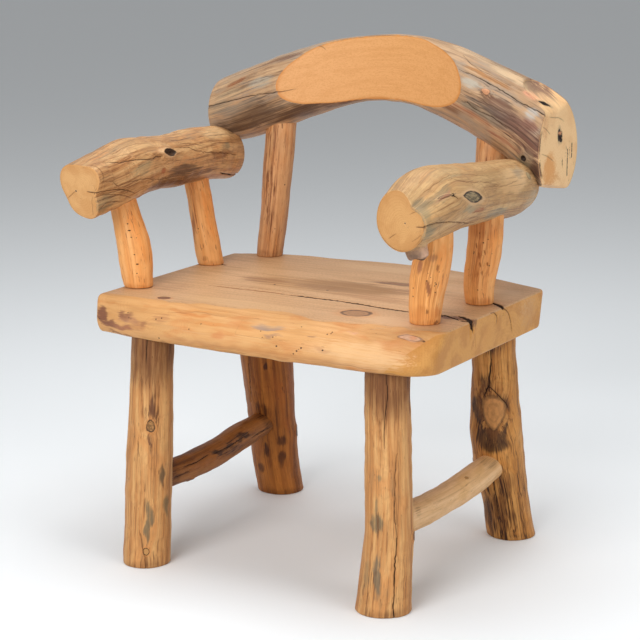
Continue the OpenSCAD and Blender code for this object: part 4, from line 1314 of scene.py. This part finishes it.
ARM_LEFT_MARKS = dict(
    knots=[(4.03, 334, 18, 6, dict(tone=0.3, swell=6.0, spread=2.4, rim=2.4, deep=5.0, mottle=0.8,
            almond=0.4, turn=-4)), (5.4, 250, 8, 7, dict(tone=0.6, swell=1.5, rim=0.7)),
           (3.0, 170, 14, 9, dict(tone=0.5, swell=0.5, rim=0.6))],
    cracks=[([(1.35, 304), (1.71, 312), (1.96, 320), (2.2, 321), (2.56, 328), (3.05, 338), (3.4, 338),
             (3.74, 338)], 0.35, 1.4, 1, "", 0.5), ([(0.94, 299), (1.35, 304)], 0.22, 0.7, 10),
            ([(0.85, 338), (1.35, 344), (1.57, 358), (2.14, 1), (2.77, 9), (3.79, 27),
             (4.53, 27)], 0.22, 0.8, 3, "", 0.5),
            ([(0.52, 354), (0.79, 357), (1.28, 2), (1.62, 6), (1.99, 16),
             (2.36, 31)], 0.3, 1.2, 2, "start"),
            ([(0.48, 9), (0.95, 8), (1.42, 14), (1.87, 24), (2.31, 42)], 0.2, 0.8, 11),
            ([(0.74, 38), (1.1, 27), (1.57, 32), (1.92, 40)], 0.2, 0.7, 12),
            ([(2.01, 297), (2.55, 295), (2.9, 299), (3.52, 305)], 0.15, 0.5, 13),
            ([(1.35, 304), (1.73, 302), (2.21, 307), (2.86, 318)], 0.15, 0.5, 14),
            ([(0.83, 284), (0.87, 312), (0.85, 337)], 0.25, 0.5, 15),
            ([(4.46, 322), (4.95, 326), (5.2, 337), (5.56, 348), (6.08, 355),
             (6.64, 0)], 0.3, 0.9, 4, "", 0.6),
            ([(4.72, 310), (5.05, 316), (5.43, 329)], 0.2, 0.7, 16, "", 0.6),
            ([(5.98, 312), (6.52, 310), (6.79, 324)], 0.2, 0.7, 17, "", 0.6),
            ([(6.21, 44), (6.73, 51), (7.06, 50)], 1.3, 3.0, 5, "finish"),
            ([(1.2, 200), (2.9, 206), (4.6, 198), (6.0, 204)], 0.6, 2.5, 6, "", 0.8)],
    stains_and_painted_light=[(3.77, 8, 11, 9, "a85c30", 0.9), (6.28, 342, 16, 7, "80745a", 0.8),
            (2.67, 348, 40, 12, "9c8c68", 0.65), (4.78, 13, 60, 11, "5c3e26", 0.85),
            (4.4, 40, 110, 18, "65421f", 0.85), (1.04, 30, 30, 20, "857455", 0.8),
            (2.2, 18, 60, 14, "b07c4a", 0.7), (1.9, 322, 50, 14, "a8703e", 0.6),
            (2.4, 292, 90, 16, "b89468", 0.6), (5.9, 350, 40, 16, "9a6a3c", 0.7),
            (6.07, 356, 34, 6, "905f3e", 0.7), (1.0, 296, 30, 12, "b07c50", 0.6),
            (6.16, 302, 60, 20, "d8b486", 0.7), (3.79, 326, 12, 6, "dcae7c", 0.9),
            (3.33, 322, 35, 9, "a87e54", 0.6), (5.5, 30, 50, 10, "6e4d35", 0.7)],
    wear_and_shade=[(5.6, 320, 60, 30, 0, 0.2, 0), (1.8, 20, 50, 24, 0, 0.2, 0.1), (4.5, 60, 120, 22, 0, 0.2, 0.45)])
ARM_LEFT_PITH = (-313.6, -241.4, 596.7, 1.5, 1.5, END_EYE)
ARM_LEFT_END_CRACKS = [
    ([(-289.8, -245.8, 598), (-278.4, -247.8, 598), (-267.8, -249.8, 598.4)], 0.4, 1.2, 1, "finish"),
    ([(-315, -241, 595.7), (-338, -234.3, 580.4)], 0.15, 0.5, 2),
    ([(-278.4, -246.9, 592.5), (-281.5, -244.1, 579.5), (-282.3, -240.6, 560.8)], 0.12, 0.4, 3)]

ARM_RIGHT_MARKS = dict(
    knots=[(2.69, 351, 34, 8, dict(tone=1.0, swell=0.5, spread=2.0, rim=0.8, deep=1.5, mottle=0.6,
            almond=0.4, dark=1.0, turn=-8)), (1.68, 333, 13, 2.6, dict(tone=2.0, swell=1.0, spread=2.5,
            rim=0.5, almond=0.4, dark=0.5, turn=-12)),
           (5.85, 331, 9, 6, dict(tone=1.0, swell=5.0, spread=1.3, dark=0.3)),
           (1.1, 77, 16, 15, dict(tone=2.0, stub=15.0, swell=3.0, spread=1.6, dark=0.15, mottle=0.15)),
           (3.9, 200, 16, 10, dict(tone=0.4, swell=4.0, rim=1.4))],
    cracks=[([(0.6, 3), (1.15, 6), (1.91, 24), (2.87, 42), (3.59, 52)], 0.3, 1.3, 1, "start"),
            ([(2.79, 20), (3.51, 21)], 0.2, 0.6, 2),
            ([(1.84, 338), (1.94, 341), (2.0, 347)], 0.7, 1.8, 3, "", 0.2),
            ([(1.88, 334), (1.94, 341)], 0.6, 1.8, 4, "", 0.2),
            ([(1.5, 334), (1.72, 335), (1.84, 337)], 0.3, 1.0, 5, "", 0.2),
            ([(2.02, 312), (2.64, 326), (3.23, 327), (4.06, 337)], 0.12, 0.4, 6, "", 0.8),
            ([(1.1, 300), (1.8, 306), (2.7, 308), (3.8, 318)], 0.1, 0.3, 7, "", 0.8),
            ([(3.6, 340), (4.4, 342), (5.2, 336)], 0.12, 0.4, 8, "", 0.6),
            ([(1.3, 210), (3.0, 214), (4.6, 206)], 0.6, 2.2, 9, "", 0.8)],
    stains_and_painted_light=[(1.15, 316, 22, 13, "7e7054", 0.8), (1.6, 328, 34, 15, "968260", 0.7),
            (5.46, 316, 30, 11, "948c7c", 0.7), (6.28, 20, 50, 23, "b8a282", 0.7),
            (3.16, 20, 40, 6, "a8643c", 0.8), (4.13, 38, 56, 16, "94886e", 0.8),
            (1.1, 77, 22, 22, "dcb092", 1.5), (1.1, 77, 11, 11, "120a06", 14.0),
            (0.86, 77, 7, 14, "5c4636", 2.5), (5.0, 335, 60, 24, "e4bc8a", 1.0),
            (1.66, 333, 16, 4, "c88468", 0.9), (2.3, 300, 70, 18, "b49a70", 0.6),
            (0.9, 343, 26, 14, "9c8a66", 0.8), (3.9, 320, 90, 18, "b08c5c", 0.6),
            (0.9, 20, 20, 20, "8f8468", 0.7), (2.68, 348, 46, 17, "d4ac78", 0.55),
            (2.6, 10, 46, 8, "a09070", 0.7), (4.6, 345, 50, 14, "d2a068", 0.6)],
    wear_and_shade=[(3.2, 40, 90, 16, 0, 0.2, 0.1), (3.0, 310, 160, 60, 0, -0.15, 0), (5.0, 60, 80, 20, 0, 0.2, 0.25)])
ARM_RIGHT_PITH = (265.3, -244.1, 597.6, 1.0, 1.0, END_EYE)
ARM_RIGHT_END_CRACKS = [
    ([(283, -246.2, 594), (292, -247, 594.5), (301, -248, 595.3)], 0.35, 1.2, 1, "finish"),
    ([(272.4, -243.5, 610.5), (284.2, -244.2, 615.8)], 0.12, 0.4, 2),
    ([(238.2, -243.9, 572.7), (251.3, -244.3, 581.6)], 0.2, 0.6, 3),
    ([(278.4, -247.9, 573), (295.2, -248.4, 584.9)], 0.12, 0.4, 4)]

RAIL_MARKS = dict(
    knots=[(8.4, 154, 8, 4.5, dict(tone=1.0, swell=5.0, spread=1.2, dark=0.25, taper=0.4)),
           (10.34, 204, 5, 5, dict(tone=0.1, swell=3.0, spread=2.8, rim=1.6, deep=4.0, mottle=0.4)),
           (9.2, 262, 12, 9, dict(tone=0.4, swell=2.0, rim=0.8)),
           (4.6, 20, 14, 9, dict(tone=0.4, swell=1.0, rim=0.5)),
           (7.9, 350, 10, 8, dict(tone=0.6, swell=1.0, rim=0.5))],
    cracks=[([(0.3, 165), (1.06, 168), (2.01, 174), (2.7, 183), (3.15, 190)], 0.35, 1.5, 1, "start"),
            ([(2.32, 150), (2.85, 155)], 0.2, 0.6, 2), ([(1.6, 147), (2.32, 150)], 0.12, 0.4, 12),
            ([(3.8, 113), (3.96, 116)], 0.15, 0.5, 3),
            ([(7.42, 142), (7.93, 140), (8.35, 140), (8.84, 140), (9.39, 142), (9.79, 140), (10.07, 137),
             (10.4, 134)], 0.45, 1.8, 4, "", 0.4),
            ([(7.28, 113), (7.6, 124), (7.96, 127), (8.28, 126), (8.68, 127), (8.96, 125)], 0.22, 0.8, 5),
            ([(7.88, 183), (8.41, 184), (8.93, 182), (9.54, 184)], 0.4, 1.0, 6, "", 0.8),
            ([(8.0, 166), (8.7, 168), (9.6, 166)], 0.2, 0.7, 7, "", 0.8),
            ([(1.0, 10), (3.4, 16), (6.0, 8), (9.0, 14)], 0.7, 3.0, 8, "", 1.0)],
    stains_and_painted_light=[(1.38, 119, 48, 20, "ab8a67", 0.6), (1.53, 138, 26, 6, "9c5e34", 0.95),
            (2.65, 116, 50, 10, "86603f", 0.8), (2.35, 158, 34, 14, "a79c8a", 0.85),
            (1.33, 156, 46, 9, "b39a78", 0.6), (1.58, 184, 70, 10, "7d7264", 0.8),
            (1.69, 200, 84, 16, "5f4a38", 0.8), (1.7, 216, 100, 20, "4a3222", 0.95),
            (3.0, 232, 80, 22, "4a2f1c", 1.0), (4.3, 236, 60, 16, "6e4226", 0.9),
            (0.9, 175, 50, 16, "8a7a64", 0.7), (7.4, 206, 50, 10, "7c5236", 0.8),
            (3.12, 124, 30, 7, "6b4a3c", 0.8), (2.9, 206, 60, 8, "8c8070", 0.6),
            (7.35, 94, 50, 20, "d8b690", 0.8), (8.68, 106, 60, 17, "dcbc94", 0.85),
            (8.3, 132, 60, 6, "ad7640", 0.85), (7.95, 154, 28, 10, "b4ab9b", 0.9),
            (8.75, 158, 34, 7, "6e3a28", 0.8), (8.9, 162, 44, 16, "6a503c", 0.9),
            (9.3, 168, 46, 10, "5c342a", 0.8), (8.5, 174, 50, 4, "4f4843", 0.8),
            (8.99, 172, 24, 11, "574c46", 0.7), (9.7, 178, 40, 22, "6a4034", 0.9),
            (10.34, 186, 30, 26, "5e342c", 0.9), (8.3, 196, 70, 7, "b0704a", 0.8),
            (9.5, 206, 50, 8, "a4644a", 0.7), (8.6, 186, 70, 9, "857660", 0.8),
            (10.0, 160, 20, 8, "8c5c4c", 0.7), (9.86, 146, 18, 12, "b9b2a8", 0.9),
            (9.7, 98, 20, 18, "8a6c60", 0.95), (9.42, 122, 10, 10, "e09c78", 0.9),
            (10.34, 204, 20, 18, "8f8468", 0.95), (10.75, 206, 24, 16, "48281f", 1.2),
            (10.5, 166, 20, 16, "5a3a34", 1.0), (9.25, 96, 16, 12, "6a4c44", 1.5)],
    # Painted shade: the wear and shade rows at stations 2.0 and 3.6, at 200 and 236 degrees, darken the rail's
    # front underside on its left half.
    wear_and_shade=[(8.6, 100, 70, 24, 0, 0.25, 0), (9.2, 186, 90, 24, 0, 0.4, 0.1), (2.0, 200, 90, 30, 0, 0.1, 0.15),
          (3.6, 236, 120, 20, 0, 0.1, 0.4), (1.6, 130, 60, 30, 0, 0.15, 0), (9.6, 98, 20, 14, 0.2, 0.6, 0.1)])
RAIL_END_CRACKS = [
    ([(295.5, 153.1, 693.6), (298.1, 170, 686), (299, 183.7, 676.4)], 0.18, 0.6),
    ([(295.6, 154.6, 649), (298, 176, 643), (299.5, 195.2, 633.1)], 0.18, 0.5, 2),
    ([(297.6, 177.3, 705), (300.3, 209, 701), (302, 227, 693)], 0.18, 0.5, 3),
    ([(301.7, 225, 636), (301.9, 225.5, 626), (302, 225.7, 618)], 0.5, 1.4, 4)]
RAIL_HOLES = [(241, (646, 640, 632, 627, 618, 611, 606)), (255, (654, 650, 644, 638, 634))]


def end_marks(log, rows, facing, knots, cracks):
    """A log's marks, with more knots and cracks on its sawn end."""
    marks = marks_on(log, **rows)
    marks["knots"] += knots_at(face(facing, UP), knots)
    marks["cracks"] += [crack_through(*row) for row in cracks]
    return marks


def rail_marks():
    """The rail's marks, with more of them on its right end and on the bevel above it."""
    end, bevel = face(RAIL_END, UP), face(RAIL_BEVEL, BEVEL_RUN)
    marks = marks_on(RAIL, **RAIL_MARKS)
    torn = dict(END_EYE, deep=4.0)
    marks["knots"] += knots_at(bevel, [(284, 189, 724, 11, 3.6, torn), (289, 197, 719, 6, 3.0, torn)])
    marks["knots"] += knots_at(end, [(300.9, 212, 673, 10, 4.5, torn), (301.5, 219, 667, 6, 3.5, torn),
                                     (300.9, 217, 676, 2.6, 3.6, dict(torn, **PALE))])
    marks["knots"] += knots_at(end, [(303 + (y - 241) * 0.09, y, z, 1.8, 1.2, END_EYE)
                                     for y, heights in RAIL_HOLES for z in heights])
    marks["cracks"] += [crack_through(*row) for row in RAIL_END_CRACKS]
    marks["stains_and_painted_light"] += stains_and_painted_light_at(bevel, [
        (265, 196, 750, 15, 12, "62443e", 4.0), (273, 178, 740, 13, 12, "e8a07c", 1.5),
        (272, 212, 748, 17, 11, "745049", 4.0), (284, 200, 735, 30, 20, "dcae84", 0.7)])
    marks["stains_and_painted_light"] += stains_and_painted_light_at(end, [
        (298, 182, 621, 34, 24, "dc9a58", 1.0), (300, 214, 696, 40, 24, "eec694", 0.5),
        (297, 167, 686, 30, 12, "d9a474", 0.7), (299, 196, 604, 12, 30, "d49658", 0.6)])
    return marks


# Marks on the seat. They are placed by (x, y) on its top, (x, z) on its front and (x, y, z) on its end.

TOP_KNOTS = [(125, -132, 24, 20, dict(tone=0.9, rim=0.3, flow=False, dark=0.7)),
             (-189, -187, 10, 9, dict(tone=0.55, rim=0.3, dark=0.8))]
FRONT_KNOTS = [(257, 423, 20, 6.0, dict(tone=2.0, rim=0.6, swell=0.8, dark=0.4)),
               (278, 421, 2.2, 2.0, dict(tone=0.0, flow=False))]
FRONT_HOLES = [(51, 393), (86, 390), (93, 395), (128, 396), (-268, 371), (-167, 378)]
TOP_HOLES = [(-93, -12), (3, -8)]
FRONT_WEAR = [(-230, 404, 17, 7, 0.9, 0, 0.1), (-187, 401, 7, 5, 0.8, 0, 0), (-166, 409, 15, 9, 0.8, 0, 0.05),
              (128, 419, 9, 3, 0.7, 0, 0), (196, 420, 12, 4, 0.6, 0, 0), (21, 406, 22, 6, 0.8, 0, 0.05),
              (-280, 398, 12, 14, 0.5, 0, 0), (0, 400, 290, 30, 0.03, 0, 0)]
TOP_WEAR = [(-100, 20, 60, 30, 0, 0.3, 0), (60, 50, 130, 60, 0, 0.25, 0), (262, -86, 40, 12, 0, 0.4, 0.2),
            (284, 26, 20, 12, 0, 0.4, 0.2)]
# A crack's points without a height lie on the top.
SEAT_CRACKS = [
    ([(-184, -69), (-155, -70), (-117, -70), (-76, -66), (-32, -68)], 2.0, 0.8, 1, "", 0.3),
    ([(-60, -67), (-32, -68), (25, -69), (64, -68), (106, -74), (148, -80), (196, -84)], 2.9, 4.0, 22,
     "finish", 0.3),
    ([(196, -84), (225, -84), (250, -87)], 2.4, 4.0, 23, "start", 0.4),
    ([(-200, -52), (-120, -51), (-60, -48), (10, -50)], 0.4, 0.6, 12, "", 0.4),
    ([(-282, 92), (-262, 88), (-246, 84)], 1.6, 2.0, 24, "", 0.4),
    ([(215, -72), (246, -78), (262, -86), (282, -98)], 2.0, 3.0, 13, "", 0.5),
    ([(262, -70), (274, -76), (286, -83), (299, -94)], 3.6, 5.0, 2, "finish", 0.5),
    ([(282, -98), (298, -99), (299.5, -96, 424)], 2.4, 3.5, 3, "start", 0.4),
    ([(299.5, -94, 430), (299, -90, 420), (298, -84, 410)], 2.6, 4.5, 14, "start", 0.4),
    ([(298, -78, 408), (297, -74, 396), (296, -70, 382)], 0.15, 0.5, 15),
    ([(-299, 29), (-280, 40), (-261, 52)], 0.3, 1.0, 4, "start"),
    ([(4, 101), (38, 97), (66, 95), (98, 87)], 0.2, 0.6, 5),
    ([(299, -28), (300, -14, 428), (299, -3, 419), (298, -2, 407)], 0.4, 1.4, 6),
    ([(262, 42), (276, 36), (288, 27), (299, 15)], 3.6, 4.5, 7, "finish"),
    ([(299.5, 20, 428), (299, 36, 419), (298.5, 47, 407), (298, 54, 396), (297, 60, 382)], 0.35, 1.2, 8,
     "start")]
FRONT_CRACKS = [
    ([(-157, 417), (-127, 418), (-110, 423), (-94, 422), (-75, 420), (-52, 420)], 0.12, 0.4, 9),
    ([(124, 378), (175, 378), (221, 375)], 0.1, 0.3, 10)]
# Painted light: the pale stains at (190, 110) and (250, 100) lighten the seat's top under the right arm, where
# the arm and its posts shade it.
TOP_STAINS_AND_PAINTED_LIGHT = [
    (-40, 20, 150, 60, "a67a4c", 0.7), (-128, 10, 50, 24, "86583a", 0.75), (40, 30, 110, 50, "8c6236", 0.8),
    (-10, 8, 60, 20, "7c5030", 0.7), (80, 92, 60, 14, "6f4630", 0.85), (150, 50, 60, 40, "a87c58", 0.6),
    (100, -20, 90, 26, "a87850", 0.6), (266, -86, 40, 13, "5f3a2a", 1.0),
    (125, -132, 24, 18, "a87c54", 0.7), (284, 26, 20, 10, "5f3a2a", 0.7), (-230, 60, 50, 50, "b58a5c", 0.6),
    (40, 190, 220, 34, "dcb488", 0.7), (200, -150, 80, 40, "deb488", 0.8),
    (-230, -110, 50, 40, "ab8058", 0.6), (190, 110, 80, 50, "d8b088", 0.5),
    (-189, -187, 18, 12, "b0784a", 0.6), (-60, -160, 160, 30, "dcb282", 0.6),
    (250, 100, 60, 60, "deb88e", 0.7)]
FRONT_STAINS = [
    (-286, 398, 14, 17, "6d3c30", 1.0), (-268, 386, 18, 9, "6d3c30", 1.0), (-238, 405, 18, 8, "7c4a38", 0.95),
    (-240, 384, 30, 6, "a0664a", 0.8), (-228, 398, 26, 10, "c08c68", 0.6), (-196, 398, 8, 4, "7c4a38", 0.8),
    (25, 415, 32, 7, "a08878", 0.9), (38, 407, 24, 5, "947462", 0.85), (105, 411, 9, 3, "8a5c3c", 0.8),
    (163, 420, 12, 4, "d69c84", 0.8), (257, 423, 24, 8, "d6a684", 0.9), (262, 424, 7, 4, "e08a52", 1.0),
    (-165, 409, 20, 9, "bc8458", 0.6), (60, 384, 140, 8, "cc8c50", 0.5), (190, 396, 120, 26, "e8ba86", 0.7),
    (40, 420, 90, 8, "dcac74", 0.6), (-245, 371, 60, 4, "8c5c34", 0.8), (-150, 370, 50, 3, "94643a", 0.7),
    (-20, 369, 80, 3, "9c6c40", 0.5), (215, 369, 60, 3.5, "94643a", 0.7),
    (-205, 394, 26, 12, "b07850", 0.6), (128, 396, 16, 5, "a87048", 0.6), (-80, 392, 90, 14, "e0ae78", 0.4),
    (-100, 424, 60, 5, "d89450", 0.5), (-54, 396, 14, 8, "c4743a", 0.9), (-108, 417, 50, 6, "c87e40", 0.8),
    (-70, 410, 40, 6, "d08a4c", 0.7), (-137, 420, 30, 6, "c4884e", 0.7), (7, 397, 40, 10, "dcaa70", 0.6),
    (-155, 398, 40, 10, "c99a66", 0.6), (90, 399, 36, 8, "cf8e50", 0.6), (231, 412, 30, 9, "d08a50", 0.6),
    (-10, 378, 220, 7, "bd8450", 0.7), (60, 425, 120, 5, "cf9a62", 0.6)]
END_STAINS = [
    (298, -80, 400, 26, 8, "b8783c", 0.6), (298, -30, 400, 30, 26, "d09048", 0.5),
    (298, 120, 400, 30, 40, "c8935a", 0.6), (298, -88, 424, 9, 14, "6a402c", 0.85)]


def on_top(x, y):
    """A place on the slab's top."""
    return on_face((x, y, SEAT_TOP), UP, EAST)


def on_front(x, z):
    """A place on the slab's front, which faces as the belly curves there."""
    h = (z - SEAT_UNDER) / SEAT_THICK
    low, high = max(0.0, h - 0.05), min(1.0, h + 0.05)
    y, below, above = [slab_front(np.array([float(x)]), np.array([share]))[0] for share in (h, low, high)]
    return np.array([x, y, z]), unit((0, -SEAT_THICK * (high - low), above - below)), np.array(EAST, float)


def seat_marks():
    knots = knots_at(on_top, TOP_KNOTS) + knots_at(on_front, FRONT_KNOTS)
    knots += knots_at(on_front, [(*at, 1.6, 1.2, HOLE) for at in FRONT_HOLES])
    knots += knots_at(on_top, [(*at, 2.0, 2.4, HOLE) for at in TOP_HOLES])
    wear_and_shade = wear_and_shade_at(on_front, FRONT_WEAR) + wear_and_shade_at(on_top, TOP_WEAR)
    # Painted shade: the seat's top is darkened round the foot of each post.
    wear_and_shade += wear_and_shade_at(on_top, [(*at, 32, 30, 0, 0.1, 0.15) for at in POST_FEET])
    cracks = [crack_through([(*p, SEAT_TOP)[:3] for p in points], *rest) for points, *rest in SEAT_CRACKS]
    cracks += [crack_through([on_front(*p)[0] for p in points], *rest) for points, *rest in FRONT_CRACKS]
    stains_and_painted_light = stains_and_painted_light_at(on_top, TOP_STAINS_AND_PAINTED_LIGHT) + stains_and_painted_light_at(on_front, FRONT_STAINS)
    stains_and_painted_light += stains_and_painted_light_at(face(EAST, UP), END_STAINS)
    return dict(knots=knots, cracks=cracks, stains_and_painted_light=stains_and_painted_light, wear_and_shade=wear_and_shade)


# Pieces

for i, name in enumerate(("leg_front_left", "leg_front_right", "leg_back_left", "leg_back_right")):
    material = (leg_wood, leg_wood, back_leg_wood, streaked_leg_wood)[i]
    marks = marks_on(legs[i], **LEG_MARKS[i])
    log_piece(name, legs[i], material, "leg_wood", marks, seed=11 + i, run_on=0.05)
log_piece("stretcher_left", STRETCHER_LEFT, wood("stretcher_wood", **STRETCHER), "stretcher_wood",
          marks_on(STRETCHER_LEFT, **STRETCHER_LEFT_MARKS), cell=1.8, seed=22)
log_piece("stretcher_right", STRETCHER_RIGHT, wood("pale_stretcher_wood", **PALE_STRETCHER), "stretcher_wood",
          marks_on(STRETCHER_RIGHT, **STRETCHER_RIGHT_MARKS), cell=1.8, seed=21)
for i, name in enumerate(("arm_post_left_front", "arm_post_left_back", "arm_post_right_front",
                          "arm_post_right_back", "back_post_left", "back_post_right")):
    rows = dict(POST_MARKS[i], wear_and_shade=POST_WEAR_AND_SHADE + POST_MARKS[i]["wear_and_shade"])
    log_piece(name, posts[i], post_wood if i < 4 else back_post_wood, "post_wood", marks_on(posts[i], **rows),
              cell=1.8, seed=31 + i)
arm_left = end_marks(ARM_LEFT, ARM_LEFT_MARKS, ARM_LEFT_CUT[0][1], [ARM_LEFT_PITH], ARM_LEFT_END_CRACKS)
arm_right = end_marks(ARM_RIGHT, ARM_RIGHT_MARKS, ARM_RIGHT_CUT[0][1], [ARM_RIGHT_PITH], ARM_RIGHT_END_CRACKS)
log_piece("arm_left", ARM_LEFT, wood("left_arm_wood", **LEFT_ARM), "arm_wood", arm_left, cell=1.7,
          start=ARM_LEFT_CUT, seed=41, waves=0.5, pith=(-0.2, -0.1))
log_piece("arm_right", ARM_RIGHT, wood("arm_wood", **ARM), "arm_wood", arm_right, cell=1.7,
          start=ARM_RIGHT_CUT, seed=42, waves=0.35, pith=(0.1, 0.2))
log_piece("back_rail", RAIL, wood("rail_wood", **RAIL_LOOK), "rail_wood", rail_marks(), cell=1.9,
          start=RAIL_LEFT_CUT, finish=RAIL_RIGHT_CUTS, seed=51, waves=0.35, hollow=hollow(), edge=4.0)
seat_piece("seat_slab", wood("seat_wood", **SEAT), "seat_wood", seat_marks())
dowel_material = dowel_wood()
for name in ("rail_dowel_left", "rail_dowel_right"):
    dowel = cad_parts[name]
    dowel.data.materials.clear()
    dowel.data.materials.append(dowel_material)


# Floor, light and background

FLOOR_COLOUR = (0.72, 0.72, 0.72, 1.0)
FLOOR_SEEN = (0.94, 0.975, 1.0, 1.0)
FLOOR_ROUGH = 0.85
FLOOR_REACH = 40.0
FLOOR_SIDES = 64
WORLD_COLOUR = (0.87, 0.87, 0.87, 1.0)
WORLD_LIGHT = 0.36
WORLD_SEEN = (0.55, 0.56, 0.57, 1.0)
LAMP_AIM = (0.0, 0.0, 0.4)
LAMPS = [("key", (0.1, -3.3, 2.0), 2.4, 86.0), ("fill", (3.2, -0.9, 1.4), 2.0, 30.0),
         ("top", (-0.1, 0.2, 3.0), 2.2, 44.0)]


def pale_rays(tree):
    """1 for the rays that show the background itself, in a picture, a reflection or through glass."""
    rays = tree.nodes.new("ShaderNodeLightPath")
    seen = rays.outputs["Is Camera Ray"]
    for name in ("Is Glossy Ray", "Is Transmission Ray"):
        either = tree.nodes.new("ShaderNodeMath")
        either.operation = "MAXIMUM"
        tree.links.new(seen, either.inputs[0])
        tree.links.new(rays.outputs[name], either.inputs[1])
        seen = either.outputs[0]
    return seen


def add_floor():
    g = Graph("floor")
    colour = g.over(FLOOR_COLOUR, FLOOR_SEEN, pale_rays(g.tree))
    shader = g.node("BsdfPrincipled", {"Base Color": colour, "Roughness": FLOOR_ROUGH})
    g.node("OutputMaterial", {"Surface": shader.outputs[0]})
    turns = [2 * math.pi * i / FLOOR_SIDES for i in range(FLOOR_SIDES)]
    mesh = bpy.data.meshes.new("floor")
    mesh.from_pydata([(FLOOR_REACH * math.cos(a), FLOOR_REACH * math.sin(a), 0.0) for a in turns], [],
                     [list(range(FLOOR_SIDES))])
    mesh.materials.append(g.material)
    floor = bpy.data.objects.new("floor", mesh)
    bpy.context.scene.collection.objects.link(floor)


def add_lamp(name, place, size, power):
    data = bpy.data.lights.new(name, "AREA")
    data.shape = "DISK"
    data.size = size
    data.energy = power
    lamp = bpy.data.objects.new(name, data)
    way = Vector(LAMP_AIM) - Vector(place)
    lamp.matrix_world = Matrix.Translation(place) @ way.to_track_quat("-Z", "Y").to_matrix().to_4x4()
    bpy.context.scene.collection.objects.link(lamp)


def add_world():
    """Even light from all round, and a pale background beyond the floor's edge."""
    world = bpy.data.worlds.new("world")
    bpy.context.scene.world = world
    world.use_nodes = True
    tree = world.node_tree
    light = tree.nodes["Background"]
    light.inputs["Color"].default_value = WORLD_COLOUR
    light.inputs["Strength"].default_value = WORLD_LIGHT
    seen = tree.nodes.new("ShaderNodeBackground")
    seen.inputs["Color"].default_value = WORLD_SEEN
    both = tree.nodes.new("ShaderNodeMixShader")
    tree.links.new(pale_rays(tree), both.inputs[0])
    tree.links.new(light.outputs[0], both.inputs[1])
    tree.links.new(seen.outputs[0], both.inputs[2])
    tree.links.new(both.outputs[0], tree.nodes["World Output"].inputs["Surface"])


add_floor()
for lamp in LAMPS:
    add_lamp(*lamp)
add_world()
bpy.context.scene.view_settings.view_transform = "Standard"
